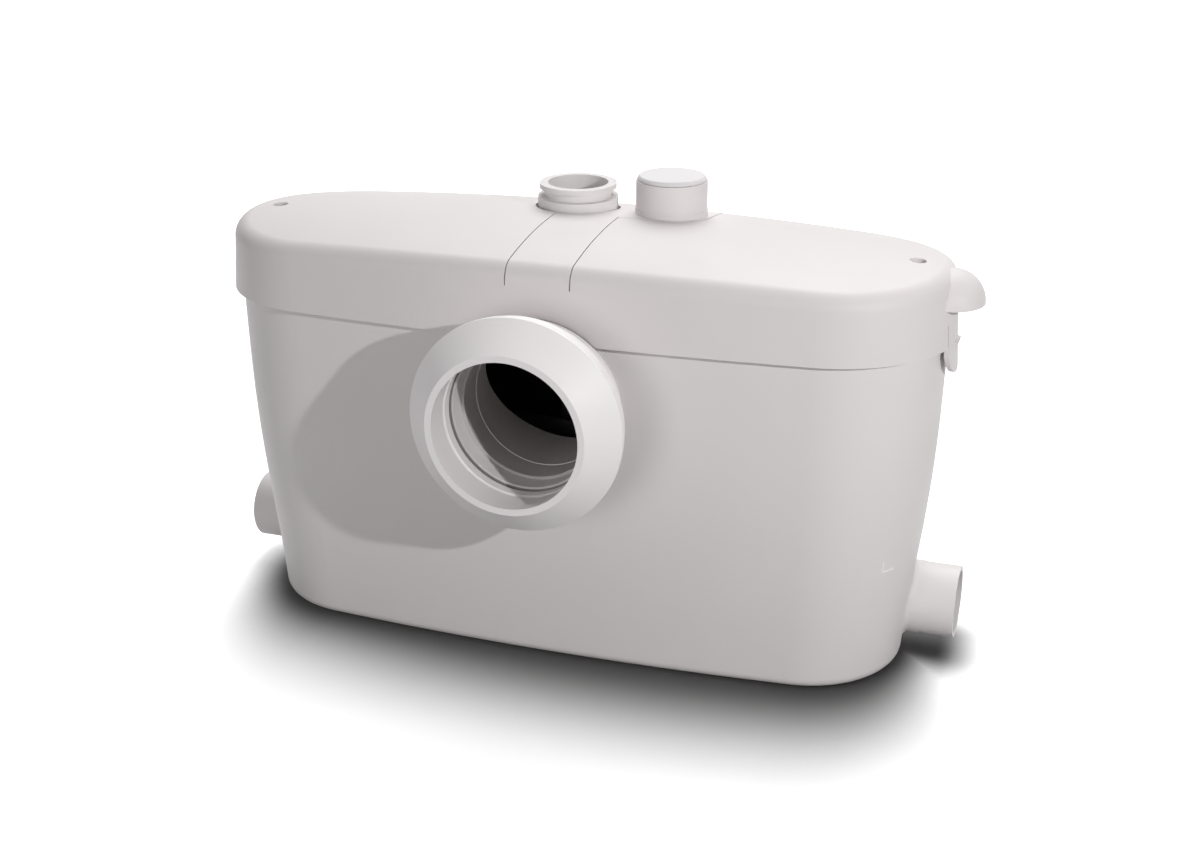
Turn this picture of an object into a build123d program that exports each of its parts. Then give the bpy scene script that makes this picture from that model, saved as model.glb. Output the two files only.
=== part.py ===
from build123d import *
import os
from collections import namedtuple
from math import atan2, cos, radians, sin, sqrt, tan

# Macerator toilet pump, in millimetres. +X is the width, -Y faces the pan, +Z is up.
# The origin lies on the floor, at the centre of the tank's base.

Oval = namedtuple("Oval", "length depth end")   # half length, half depth and end radius

# Fits and cuts
OVERRUN = 6.0            # how far a cut runs past what it cuts
SEAT_GAP = 0.2           # between flat faces that rest on each other
PRESS_GAP = 0.1          # round parts pushed together
RUN_GAP = 0.05           # shafts and pins in their bores
FREE_GAP = 0.4           # parts that pass each other

# Tank
TANK_BASE = Oval(190.6, 62.2, 56.4)
TANK_TOP = Oval(204.9, 70.0, 63.8)
TANK_RIM_Z = 205.0
TANK_WALL = 3.5
TANK_FLOOR = 5.0
TANK_EDGE_RADIUS = 6.0
FLARE_SHARES = ((0, 0), (0.25, 0.34), (0.5, 0.72), (0.75, 0.916), (1, 1))   # height, growth
BOSS_RADIUS = 5.0
BOSS_DEPTH = 18.0
BOSS_END_ANGLES = (45, 135, 225, 315)
BOSS_SIDE_X = 45.0
CATCH_LENGTH = 16.0
CATCH_HEIGHT = 3.0
CATCH_STAND = 2.0
CATCH_DROP = 21.0        # below the rim

# Side inlets
SPIGOT_RADIUS = 20.5
SPIGOT_WALL = 2.8
SPIGOT_STAND = 28.9      # beyond the end of the tank's base
SPIGOT_SEAT_DEPTH = 20.6   # from there in to the flap's seat
SPIGOT_Y = 18.5
SPIGOT_Z = 30.0
SPIGOT_PUSH = 20.0       # length that a pipe's rubber sleeve covers
SPIGOT_SHOULDER = 0.3    # the root is this much thicker, and stops the sleeve
SPIGOT_BLEND = 3.2
FLAP_THICKNESS = 2.5
FLAP_RADIUS = 19.5
FLAP_HINGE_RISE = 23.5
FLAP_PIN_RADIUS = 1.2
FLAP_KNUCKLE_LENGTH = 10.0
EAR_THICKNESS = 3.0
EAR_HEIGHT = 3.0          # above the hinge
EAR_WALL = 1.2           # below the pin
EAR_ROOT = 8.0

# Pan inlet and its sleeve; distances in front of the tank's middle
PAN_DROP = 46.8          # axis below the tank's rim
PAN_TUBE_RADIUS = 44.5
PAN_TUBE_BORE = 40.0
PAN_TUBE_INNER_BORE = 38.4
PAN_TUBE_FRONT = 94.0
PAN_TUBE_STEP = 83.0
PAN_SPOUT_RADIUS = 41.2
PAN_SPOUT_BACK = 48.2    # where the slanted end crosses the axis
PAN_SPOUT_SLOPE = 31.6   # degrees
SLEEVE_NECK_BACK = 76.5
SLEEVE_NECK_WALL = 3.6
SLEEVE_BAND_BACK = 96.0
SLEEVE_RIM_FRONT = 108.4
SLEEVE_RIM_RADIUS = 58.6
SLEEVE_FRONT = 124.2
SLEEVE_LIP_OUTER = 43.5
SLEEVE_LIP_RADIUS = 39.9
SLEEVE_LIP_LENGTH = 5.0
SLEEVE_INNER_RADIUS = 41.6
SLEEVE_SHOULDER = 96.2
SLEEVE_RIDGE_STEP = 0.9  # each ridge stands this much lower than the one in front
SLEEVE_RIDGE_DEPTH = 1.0
SLEEVE_RIDGES = 3
SLEEVE_RIDGE_SHARES = (0.6, 0.7)   # of the pitch, where each ridge's flank runs
SLEEVE_GROOVE_OUTER = 53.6
SLEEVE_GROOVE_DEPTH = 9.0
SLEEVE_BEAD = 0.9
SLEEVE_BEAD_PLACE = 105.0

# Lid and covers
LID_OVERHANG = 4.4
LID_OVERLAP = 12.1       # skirt below the tank's rim
SKIRT_HEIGHT = 28.7
COVER_HEIGHT = 18.9
LID_TAPER = 3.1
LID_WALL = 2.5
LID_EDGE_RADIUS = 10.0
CROWN_RADIUS_X = 2582.0
CROWN_RADIUS_Y = 320.0
CROWN_TURN = 50.0        # degrees
SLIT_WIDTH = 0.7
STRIP_WIDTH = 36.0
LEDGE_WIDTH = 6.0
LIP_HEIGHT = 3.5
NOTCH_RADIUS = 47.5
TONGUE_WIDTH = 36.0
TONGUE_TIP_RADIUS = 15.0
TONGUE_DROP = 17.0
TONGUE_SLIT_HEIGHT = 12.6
TONGUE_SLIT_WIDTH = 1.2
TONGUE_GRIP_RADIUS = 1.2
TONGUE_GRIP_LENGTH = 14.0
COVER_SCREW_X = 186.0
COVER_WELL_RADIUS = 4.5
COVER_BOSS_RADIUS = 7.0
COVER_BOSS_HEIGHT = 11.5
COVER_WELL_FLOOR = 4.0
CORNER_RADIUS = 22.8     # seam round the upper inlet's stub

# Cable outlet at the right end
HOOD_CENTRE_X = 205.0
HOOD_REACH = 17.5
HOOD_HALF_WIDTH = 20.0
HOOD_HEIGHT = 17.5
HOOD_BELOW_SEAM = 8.1
HOOD_WALL = 2.0
GLAND_HEIGHT = 6.0
GLAND_BORE = 3.3
GLAND_X = 214.0
GLAND_Y = -5.8
CABLE_WAY_RADIUS = 4.5

# Discharge stub
STUB_X = -13.5
STUB_Y = 33.9
STUB_STAND = 12.1        # above the lid's crown
STUB_BORE = 17.2
STUB_PUSH = 20.0         # depth of the pipe's socket
STUB_CHAMBER = 16.8      # bore below the socket, round the check valve
STUB_FLANGE_RADIUS = 22.0
STUB_FLANGE_HEIGHT = 2.9
STUB_NECK_RADIUS = 19.2
STUB_NECK_HEIGHT = 4.6
STUB_COLLAR_RADIUS = 23.0
STUB_COLLAR_HEIGHT = 9.0
STUB_BODY_RADIUS = 20.2
STUB_HOLE_RADIUS = 24.4
STUB_FOOT_RADIUS = 24.0
STUB_FOOT_HEIGHT = 3.0
STUB_TAIL = 15.0         # below the deck
STUB_SOCKET = 7.5
SOCKET_RADIUS = 13.0

# Check valve in the discharge stub
VALVE_SEAT_HEIGHT = 3.0
VALVE_PORT = 9.6
VALVE_FLAP_RADIUS = 12.6
VALVE_FLAP_THICKNESS = 2.0
VALVE_FLAP_FLAT = 10.3
VALVE_HINGE_Y = 13.0
VALVE_HINGE_RISE = 2.7
VALVE_PIN_RADIUS = 1.0
VALVE_KNUCKLE_RADIUS = 2.1
VALVE_KNUCKLE_LENGTH = 7.8
VALVE_EAR_THICKNESS = 2.0
VALVE_EAR_DEPTH = 3.6
VALVE_EAR_HEIGHT = 4.4

# Upper inlet
INLET_X = 42.0
INLET_Y = 34.0
INLET_RADIUS = 20.2
INLET_BORE = 18.0
INLET_STAND = 17.7       # above the lid's crown
INLET_PUSH = 16.0        # length that a pipe's rubber sleeve covers
INLET_SHOULDER = 0.3     # the root is this much thicker
INLET_TAIL = 28.2        # length of the stub moulded on the lid
CAP_RADIUS = 19.2
CAP_THICKNESS = 2.3
CAP_EDGE = 0.9
CAP_PLUG_RADIUS = 17.3
CAP_PLUG_HEIGHT = 10.0
CAP_WALL = 2.0
CAP_RING_RADIUS = 1.1
CAP_GROOVE_PLACE = 5.0   # below the stub's rim
DROP_PIPE_RADIUS = 19.0
DROP_PIPE_WALL = 2.2
DROP_PIPE_TAIL = 39.0    # below the deck
DROP_PIPE_FOOT_RADIUS = 21.5
DROP_PIPE_FOOT_HEIGHT = 2.0

# Deck
GASKET_THICKNESS = 2.0
GASKET_WIDTH = 3.0
GASKET_INSET = 0.3
DECK_THICKNESS = 3.5
DECK_INSET = 0.5
DECK_POST_RADIUS = 6.0
SCREW_RADIUS = 2.0
SCREW_HEAD_RADIUS = 4.0
SCREW_HEAD_HEIGHT = 2.4
SCREW_LENGTH = 14.0
SCREW_SLOT_WIDTH = 1.2
SCREW_SLOT_DEPTH = 1.0

# Motor, hung from the deck
MOTOR_X = 100.0
CAN_RADIUS = 42.0
CAN_WALL = 2.5
CAN_DEPTH = 92.0         # below the deck's top
FLANGE_RADIUS = 44.5
FLANGE_THICKNESS = 3.0
LUG_RADIUS = 5.5
LUG_CIRCLE = 48.0
LUG_COUNT = 4
MOTOR_GASKET_THICKNESS = 1.5
CAN_SHAFT_HOLE = 8.0
SHAFT_SEAL_RADIUS = 12.0
SHAFT_SEAL_HEIGHT = 6.0
LOWER_BEARING_RADIUS = 16.0
LOWER_BEARING_HEIGHT = 10.0
UPPER_BEARING_RADIUS = 11.0
UPPER_BEARING_HEIGHT = 7.0
HUB_WALL = 2.5
SHAFT_RADIUS = 6.0
SHAFT_TOP_RADIUS = 4.0
CORE_RADIUS = 39.4
CORE_HEIGHT = 40.0
CORE_DROP = 61.5         # foot of the core below the deck's top
AIR_GAP = 0.5
ROTOR_RADIUS = 21.5
WINDING_OUTER = 34.0
WINDING_HEIGHT = 9.0
COVER_DOME_RADIUS = 38.0
COVER_DOME_HEIGHT = 4.0
HUB_DEPTH = 11.5
LEAD_BOSS_RADIUS = 5.0
LEAD_BOSS_HEIGHT = 10.0
LEAD_BOSS_OFFSET = 31.0
CUTOUT_RADIUS = 4.5
CUTOUT_HEIGHT = 3.0
CUTOUT_PLACE = 28.0

# Cutter
BASKET_RADIUS = 46.0
BASKET_WALL = 2.5
BASKET_FLOOR = 3.0
BASKET_HEIGHT = 66.0
BASKET_HUB_HOLE = 9.0
SLOT_COUNT = 16
SLOT_WIDTH = 6.0
SLOT_HEIGHT = 34.0
SLOT_FOOT = 8.0
CUTTER_HUB_RADIUS = 10.0
CUTTER_HUB_HEIGHT = 12.0
CUTTER_LIFT = 3.0
BLADE_REACH = 39.0
BLADE_WIDTH = 14.0
BLADE_THICKNESS = 2.5
BLADE_TIP_HEIGHT = 11.0
BLADE_PLACE = 4.0

# Chute from the pan inlet to the basket
CHUTE_START_X = -44.0
CHUTE_LAP = 14.0         # over the basket's rim
CHUTE_RISE = 3.5         # floor above the basket's rim, where it ends
CHUTE_FALL = 7.0
CHUTE_BACK_Y = 10.0
CHUTE_FRONT_Y = -54.0
CHUTE_WALL = 2.5
CHUTE_SIDE = 8.0
CHUTE_POST_RADIUS = 5.0
CHUTE_POST_X = -30.0
CHUTE_POST_Y = -20.0

# Pump
PIPE_RADIUS = 11.0
PIPE_BORE = 8.5
PUMP_LEG_RADIUS = 4.0
PUMP_LEG_HEIGHT = 3.5
PUMP_LEG_CIRCLE = 38.0
PUMP_LEG_COUNT = 3
PUMP_PLATE = 2.5
PUMP_WALL = 2.6
CHAMBER_HEIGHT = 20.0
PUMP_EYE_RADIUS = 13.0
PUMP_SCREW_RADIUS = 1.5
PUMP_SCREW_HEAD = 2.6
PUMP_SCREW_COUNT = 3
PUMP_SCREW_TURN = 60     # degrees
PUMP_LUG_RADIUS = 4.5
PUMP_LUG_HEIGHT = 6.0
IMPELLER_RADIUS = 38.0
IMPELLER_SHROUD = 3.0
IMPELLER_HUB = 9.0
VANE_COUNT = 6
VANE_THICKNESS = 2.5
VANE_HEIGHT = 9.0
IMPELLER_TOP_GAP = 2.0
NUT_RADIUS = 6.5
NUT_HEIGHT = 3.2
SPOUT_REACH = 52.0       # from the motor's axis to the spout's end
PIPE_JOINT = 2.0
COUPLING_WALL = 2.8
COUPLING_LENGTH = 20.0
RISER_BEND = 26.0

# Level switch
BELL_X = -110.0
BELL_RADIUS = 20.0
BELL_WALL = 2.5
BELL_CLEARANCE = 9.0     # above the tank's floor
BELL_FOOT_RADIUS = 30.0
BELL_FOOT_HEIGHT = 2.5
DIAPHRAGM_RADIUS = 28.0
DIAPHRAGM_THICKNESS = 1.0
DIAPHRAGM_PAD_RADIUS = 10.0
DIAPHRAGM_PAD_HEIGHT = 1.2
HOUSING_HEIGHT = 8.5
HOUSING_WALL = 2.0
PLUNGER_RADIUS = 3.0
PLUNGER_HEAD_RADIUS = 7.0
PLUNGER_HEAD_HEIGHT = 1.5
PLUNGER_STAND = 2.5      # above the housing
PLUNGER_TRAVEL = 1.8
SWITCH_LENGTH = 20.0
SWITCH_WIDTH = 10.0
SWITCH_HEIGHT = 9.0
SWITCH_OFFSET = 8.0
LEVER_THICKNESS = 0.5
LEVER_OVERHANG = 13.0
LEVER_WIDTH = 5.0

# Electric parts on the deck
CAPACITOR_X = 166.0
CAPACITOR_RADIUS = 9.0
CAPACITOR_LENGTH = 50.0
CLIP_THICKNESS = 1.0
CLIP_WIDTH = 12.0
CAPACITOR_STUB = 3.0
TERMINAL_X = -52.0
TERMINAL_Y = -38.0
TERMINAL_LENGTH = 40.0
TERMINAL_WIDTH = 18.0
TERMINAL_HEIGHT = 14.0
TERMINAL_WAYS = 5
TERMINAL_SCREW_RADIUS = 2.2
TERMINAL_SCREW_HEIGHT = 3.0
LEAD_RADIUS = 2.5
LEAD_BEND = 9.0
THIN_LEAD_RADIUS = 1.5
VENT_X = -158.0
VENT_RADIUS = 11.0
VENT_HEIGHT = 12.0
VENT_SPIGOT_RADIUS = 8.0
VENT_WAY_RADIUS = 1.0
VENT_WAYS = 6

# Base pads
PAD_RADIUS = 12.0
PAD_THICKNESS = 2.5
PAD_X = 128.0
PAD_Y = 30.0

# Heights and places that follow from the sizes above
DECK_Z = TANK_RIM_Z + GASKET_THICKNESS
DECK_TOP = DECK_Z + DECK_THICKNESS
LID_EDGE_Z = TANK_RIM_Z - LID_OVERLAP
SEAM_Z = LID_EDGE_Z + SKIRT_HEIGHT
CROWN_Z = SEAM_Z + COVER_HEIGHT
PAN_Z = TANK_RIM_Z - PAN_DROP
SPIGOT_REACH = TANK_BASE.length + SPIGOT_STAND
SPIGOT_SEAT_X = TANK_BASE.length - SPIGOT_SEAT_DEPTH
STUB_TOP_Z = CROWN_Z + STUB_STAND
INLET_TOP_Z = CROWN_Z + INLET_STAND
INLET_TAIL_Z = INLET_TOP_Z - INLET_TAIL
DROP_PIPE_BOTTOM_Z = DECK_Z - DROP_PIPE_TAIL
TONGUE_TIP_Z = LID_EDGE_Z - TONGUE_DROP
SKIN_LOW_Z = TONGUE_TIP_Z - OVERRUN
SKIN_HIGH_Z = CROWN_Z + OVERRUN
HOOD_Z = SEAM_Z - HOOD_BELOW_SEAM
MOTOR_FLANGE_Z = DECK_TOP + MOTOR_GASKET_THICKNESS
MOTOR_COVER_Z = MOTOR_FLANGE_Z + FLANGE_THICKNESS
CAN_BOTTOM_Z = DECK_TOP - CAN_DEPTH
SEAL_Z = CAN_BOTTOM_Z + CAN_WALL
LOWER_BEARING_Z = SEAL_Z + SHAFT_SEAL_HEIGHT
CORE_Z = DECK_TOP - CORE_DROP
HUB_Z = MOTOR_COVER_Z - HUB_DEPTH
STATOR_BORE = ROTOR_RADIUS + AIR_GAP
PUMP_Z = TANK_FLOOR + PUMP_LEG_HEIGHT
CHAMBER_Z = PUMP_Z + PUMP_PLATE
CHAMBER_RADIUS = STUB_Y + PIPE_BORE
CASING_RADIUS = CHAMBER_RADIUS + PUMP_WALL
CASING_TOP_Z = CHAMBER_Z + CHAMBER_HEIGHT + PUMP_PLATE
PIPE_Z = CHAMBER_Z + CHAMBER_HEIGHT / 2
IMPELLER_TOP_Z = CHAMBER_Z + CHAMBER_HEIGHT - IMPELLER_TOP_GAP
IMPELLER_Z = IMPELLER_TOP_Z - IMPELLER_SHROUD - VANE_HEIGHT
SPOUT_X = MOTOR_X - SPOUT_REACH
PUMP_LUG_Z = CHAMBER_Z + PUMP_LUG_HEIGHT
BASKET_Z = CASING_TOP_Z
BASKET_RIM_Z = BASKET_Z + BASKET_HEIGHT
CUTTER_Z = BASKET_Z + BASKET_FLOOR + CUTTER_LIFT
STUB_TAIL_Z = DECK_Z - STUB_TAIL
SOCKET_Z = STUB_TAIL_Z + STUB_SOCKET
VALVE_Z = SOCKET_Z + VALVE_SEAT_HEIGHT
BELL_FOOT_Z = DECK_TOP
DIAPHRAGM_Z = BELL_FOOT_Z + BELL_FOOT_HEIGHT
HOUSING_Z = DIAPHRAGM_Z + DIAPHRAGM_THICKNESS
HOUSING_TOP_Z = HOUSING_Z + HOUSING_HEIGHT
FLAP_HINGE_Z = SPIGOT_Z + FLAP_HINGE_RISE
FLAP_HINGE_X = SPIGOT_SEAT_X - SEAT_GAP - FLAP_THICKNESS / 2


# Plain shapes

def rod(axis, radius, start, end, at):
    """Round bar along an axis; at holds its two other coordinates, in X, Y, Z order."""
    middle = (start + end) / 2
    bar = Cylinder(radius, abs(end - start))
    if axis == "x":
        return Pos(middle, at[0], at[1]) * Rot(0, 90, 0) * bar
    if axis == "y":
        return Pos(at[0], middle, at[1]) * Rot(90, 0, 0) * bar
    return Pos(at[0], at[1], middle) * bar


def block(low, high):
    """Box between two corners."""
    size = [b - a for a, b in zip(low, high)]
    centre = [(a + b) / 2 for a, b in zip(low, high)]
    return Pos(*centre) * Box(*size)


def slab(low, high):
    """Wide flat layer between two heights."""
    half = SPIGOT_REACH + OVERRUN
    return block((-half, -half, low), (half, half, high))


def turned(points, x, y):
    """Profile of (radius, height) points turned about an upright axis."""
    outline = make_face(Polyline(*[(radius, height) for radius, height in points], close=True))
    return Pos(x, y, 0) * revolve(Plane.XZ * outline, axis=Axis.Z)


def ring(outer, inner, low, high, x, y):
    """Upright tube."""
    return turned([(inner, low), (outer, low), (outer, high), (inner, high)], x, y)


def around(count, radius, x, y, start=0):
    """Places on a circle."""
    turns = [radians(start + 360 * i / count) for i in range(count)]
    return [(x + radius * cos(t), y + radius * sin(t)) for t in turns]


def screw(x, y, seat_z, length, radius, head_radius, head_height):
    """Slotted pan-head screw standing on its seat."""
    head = rod("z", head_radius, seat_z, seat_z + head_height, (x, y))
    shank = rod("z", radius, seat_z - length, seat_z, (x, y))
    top = seat_z + head_height
    slot = block((x - head_radius, y - SCREW_SLOT_WIDTH / 2, top - SCREW_SLOT_DEPTH),
                 (x + head_radius, y + SCREW_SLOT_WIDTH / 2, top + OVERRUN))
    return head + shank - slot


# Ovals of the tank and lid

def inset(oval, amount):
    return Oval(oval.length - amount, oval.depth - amount, oval.end - amount)


def side_arc(oval):
    """Radius of the long arcs and half their turn, so that they meet the end arcs smoothly."""
    centre = oval.length - oval.end
    radius = (centre ** 2 + oval.depth ** 2 - oval.end ** 2) / (2 * (oval.depth - oval.end))
    return radius, atan2(centre, radius - oval.depth)


def oval_face(oval, z):
    """Flat face bounded by two long arcs and two end arcs."""
    turn = side_arc(oval)[1]
    x = oval.length - oval.end + oval.end * sin(turn)
    y = oval.end * cos(turn)
    edges = [ThreePointArc((-x, y), (0, oval.depth), (x, y)),
             ThreePointArc((x, y), (oval.length, 0), (x, -y)),
             ThreePointArc((x, -y), (0, -oval.depth), (-x, -y)),
             ThreePointArc((-x, -y), (-oval.length, 0), (-x, y))]
    return Pos(0, 0, z) * make_face(edges)


def side_y(oval, x):
    """Half depth of an oval at a place along its long arc."""
    radius = side_arc(oval)[0]
    return sqrt(radius ** 2 - x ** 2) - (radius - oval.depth)


def tank_oval(share, inset_by):
    """Tank's outline at a share of its height."""
    for (low, grown_low), (high, grown_high) in zip(FLARE_SHARES, FLARE_SHARES[1:]):
        if low <= share <= high:
            grown = grown_low + (grown_high - grown_low) * (share - low) / (high - low)
            mixed = Oval(*(a + (b - a) * grown for a, b in zip(TANK_BASE, TANK_TOP)))
            return inset(mixed, inset_by)


def tank_body(inset_by):
    """Flared body of the tank, moved inwards by inset_by."""
    shares = [height_share for height_share, growth_share in FLARE_SHARES]
    return loft([oval_face(tank_oval(share, inset_by), share * TANK_RIM_Z) for share in shares])


def lid_oval(z, inset_by):
    """Lid's outline at a height, ignoring its rounded top edge."""
    taper = LID_TAPER * (z - LID_EDGE_Z) / (CROWN_Z - LID_EDGE_Z)
    return inset(TANK_TOP, taper + inset_by - LID_OVERHANG)


def crown_body(inset_by):
    """Everything below the lid's gently domed top."""
    reach = lid_oval(SKIN_LOW_Z, 0).length + OVERRUN
    top = CROWN_Z - inset_by
    radius = CROWN_RADIUS_X - inset_by
    side = top - (radius - sqrt(radius ** 2 - reach ** 2))
    axis_z = CROWN_Z - CROWN_RADIUS_Y
    lines = [Polyline((-reach, side), (-reach, axis_z), (reach, axis_z), (reach, side)),
             ThreePointArc((reach, side), (0, top), (-reach, side))]
    axis = Axis((0, 0, axis_z), (1, 0, 0))
    profile = (Plane.XZ * make_face(lines)).rotate(axis, -CROWN_TURN / 2)
    return revolve(profile, axis=axis, revolution_arc=CROWN_TURN)


def lid_skin(inset_by):
    """Solid form of the lid, moved inwards by inset_by, with its top edge rounded."""
    walls = loft([oval_face(lid_oval(SKIN_LOW_Z, inset_by), SKIN_LOW_Z),
                  oval_face(lid_oval(SKIN_HIGH_Z, inset_by), SKIN_HIGH_Z)], ruled=True)
    body = walls & crown_body(inset_by)
    edges = body.edges().filter_by(lambda edge: edge.center().Z > SEAM_Z)
    return fillet(edges, LID_EDGE_RADIUS - inset_by)


# Tank

def spigot(side):
    """Side inlet on the left (-1) or right (+1), run in to its flap's seat."""
    stop = side * (SPIGOT_REACH - SPIGOT_PUSH)
    at = (SPIGOT_Y, SPIGOT_Z)
    root = rod("x", SPIGOT_RADIUS + SPIGOT_SHOULDER, side * SPIGOT_SEAT_X, stop, at)
    return root + rod("x", SPIGOT_RADIUS, stop, side * SPIGOT_REACH, at)


def at_spigot_root(edge):
    """True for the edges where a side inlet leaves the tank's wall."""
    box = edge.bounding_box()
    reach = SPIGOT_RADIUS + SPIGOT_SHOULDER + SEAT_GAP
    near_y = max(abs(box.min.Y - SPIGOT_Y), abs(box.max.Y - SPIGOT_Y)) < reach
    near_z = max(abs(box.min.Z - SPIGOT_Z), abs(box.max.Z - SPIGOT_Z)) < reach
    furthest = max(abs(box.min.X), abs(box.max.X))
    return near_y and near_z and SPIGOT_SEAT_X < furthest < SPIGOT_REACH - SPIGOT_PUSH - SEAT_GAP


def spigot_ears(side):
    """Two ears that carry the flap's pin above the seat."""
    inner = SPIGOT_SEAT_X - SEAT_GAP - FLAP_THICKNESS - FLAP_PIN_RADIUS
    outer = SPIGOT_SEAT_X + EAR_ROOT
    low_x, high_x = sorted((side * inner, side * outer))
    root_low, root_high = sorted((side * SPIGOT_SEAT_X, side * outer))
    ears = []
    for way in (-1, 1):
        near = SPIGOT_Y + way * (FLAP_KNUCKLE_LENGTH / 2 + SEAT_GAP)
        far = near + way * EAR_THICKNESS
        low_y, high_y = sorted((near, far))
        top = FLAP_HINGE_Z + EAR_HEIGHT
        ear = block((low_x, low_y, FLAP_HINGE_Z - FLAP_PIN_RADIUS - EAR_WALL), (high_x, high_y, top))
        ears.append(ear + block((root_low, low_y, FLAP_HINGE_Z - EAR_ROOT), (root_high, high_y, top)))
    return ears[0] + ears[1]


def flap_pin_hole(side, radius, extra):
    reach = FLAP_KNUCKLE_LENGTH / 2 + SEAT_GAP + EAR_THICKNESS + extra
    return rod("y", radius, SPIGOT_Y - reach, SPIGOT_Y + reach, (side * FLAP_HINGE_X, FLAP_HINGE_Z))


def deck_screw_places():
    """Eight places just inside the tank's wall."""
    oval = inset(TANK_TOP, TANK_WALL + BOSS_RADIUS - FREE_GAP)
    centre = oval.length - oval.end
    places = []
    for angle in BOSS_END_ANGLES:
        side = 1 if cos(radians(angle)) > 0 else -1
        places.append((side * centre + oval.end * cos(radians(angle)), oval.end * sin(radians(angle))))
    for x in (-BOSS_SIDE_X, BOSS_SIDE_X):
        for way in (-1, 1):
            places.append((x, way * side_y(oval, x)))
    return places


def pad_places():
    return [(x, y) for x in (-PAD_X, PAD_X) for y in (-PAD_Y, PAD_Y)]


def pan_spout():
    """Inner end of the pan inlet, cut on a slant so that its foot reaches further in."""
    spout = rod("y", PAN_SPOUT_RADIUS, -PAN_TUBE_STEP, 0, (0, PAN_Z))
    slant = tan(radians(PAN_SPOUT_SLOPE))
    rise = PAN_SPOUT_RADIUS + OVERRUN
    knife = make_face(Polyline((-PAN_SPOUT_BACK - slant * rise, PAN_Z + rise),
                               (-PAN_SPOUT_BACK + slant * rise, PAN_Z - rise),
                               (rise, PAN_Z - rise), (rise, PAN_Z + rise), close=True))
    return spout - extrude(Plane.YZ * knife, amount=rise, both=True)


def build_tank():
    outer = tank_body(0)
    base = outer.edges().filter_by(lambda edge: edge.center().Z < TANK_EDGE_RADIUS / 2)
    outer = fillet(base, TANK_EDGE_RADIUS)
    hollow = tank_body(TANK_WALL) & slab(TANK_FLOOR, TANK_RIM_Z + OVERRUN)
    hollow += extrude(oval_face(inset(TANK_TOP, TANK_WALL), TANK_RIM_Z), OVERRUN)
    added = []
    for side in (-1, 1):
        outer += spigot(side)
        added += [spigot(side), spigot_ears(side)]
        wall = TANK_TOP.length - FREE_GAP
        catch_z = TANK_RIM_Z - CATCH_DROP
        low_x, high_x = sorted((side * (wall - TANK_WALL), side * (wall + CATCH_STAND)))
        outer += block((low_x, -CATCH_LENGTH / 2, catch_z),
                       (high_x, CATCH_LENGTH / 2, catch_z + CATCH_HEIGHT))
    outer = fillet(outer.edges().filter_by(at_spigot_root), SPIGOT_BLEND)
    boss_foot = TANK_RIM_Z - BOSS_DEPTH
    bosses = [rod("z", BOSS_RADIUS, boss_foot, TANK_RIM_Z, place) for place in deck_screw_places()]
    post = rod("z", CHUTE_POST_RADIUS, TANK_FLOOR - FREE_GAP, chute_floor_z(CHUTE_POST_X) - CHUTE_WALL * 2,
               (CHUTE_POST_X, CHUTE_POST_Y))
    inside = post
    for piece in added + bosses:
        inside += piece
    inside = inside & outer
    tank = outer - hollow + inside
    tank += rod("y", PAN_TUBE_RADIUS, -PAN_TUBE_FRONT, -side_y(tank_oval(1, TANK_WALL), 0), (0, PAN_Z))
    tank += pan_spout()
    tank -= rod("y", PAN_TUBE_BORE, -PAN_TUBE_FRONT - OVERRUN, -PAN_TUBE_STEP, (0, PAN_Z))
    tank -= rod("y", PAN_TUBE_INNER_BORE, -PAN_TUBE_FRONT - OVERRUN, 0, (0, PAN_Z))
    for side in (-1, 1):
        tank -= rod("x", SPIGOT_RADIUS - SPIGOT_WALL, side * (SPIGOT_SEAT_X - OVERRUN),
                    side * (SPIGOT_REACH + OVERRUN), (SPIGOT_Y, SPIGOT_Z))
        tank -= flap_pin_hole(side, FLAP_PIN_RADIUS, OVERRUN)
    for place in deck_screw_places():
        tank -= rod("z", SCREW_RADIUS + PRESS_GAP, boss_foot + BOSS_RADIUS / 2, TANK_RIM_Z + OVERRUN, place)
    for place in pad_places():
        tank -= rod("z", PAD_RADIUS, -OVERRUN, PAD_THICKNESS, place)
    return tank


def build_base_pads():
    return [rod("z", PAD_RADIUS - PRESS_GAP, 0, PAD_THICKNESS - PRESS_GAP, place) for place in pad_places()]


# Sleeve over the pan inlet

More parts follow.
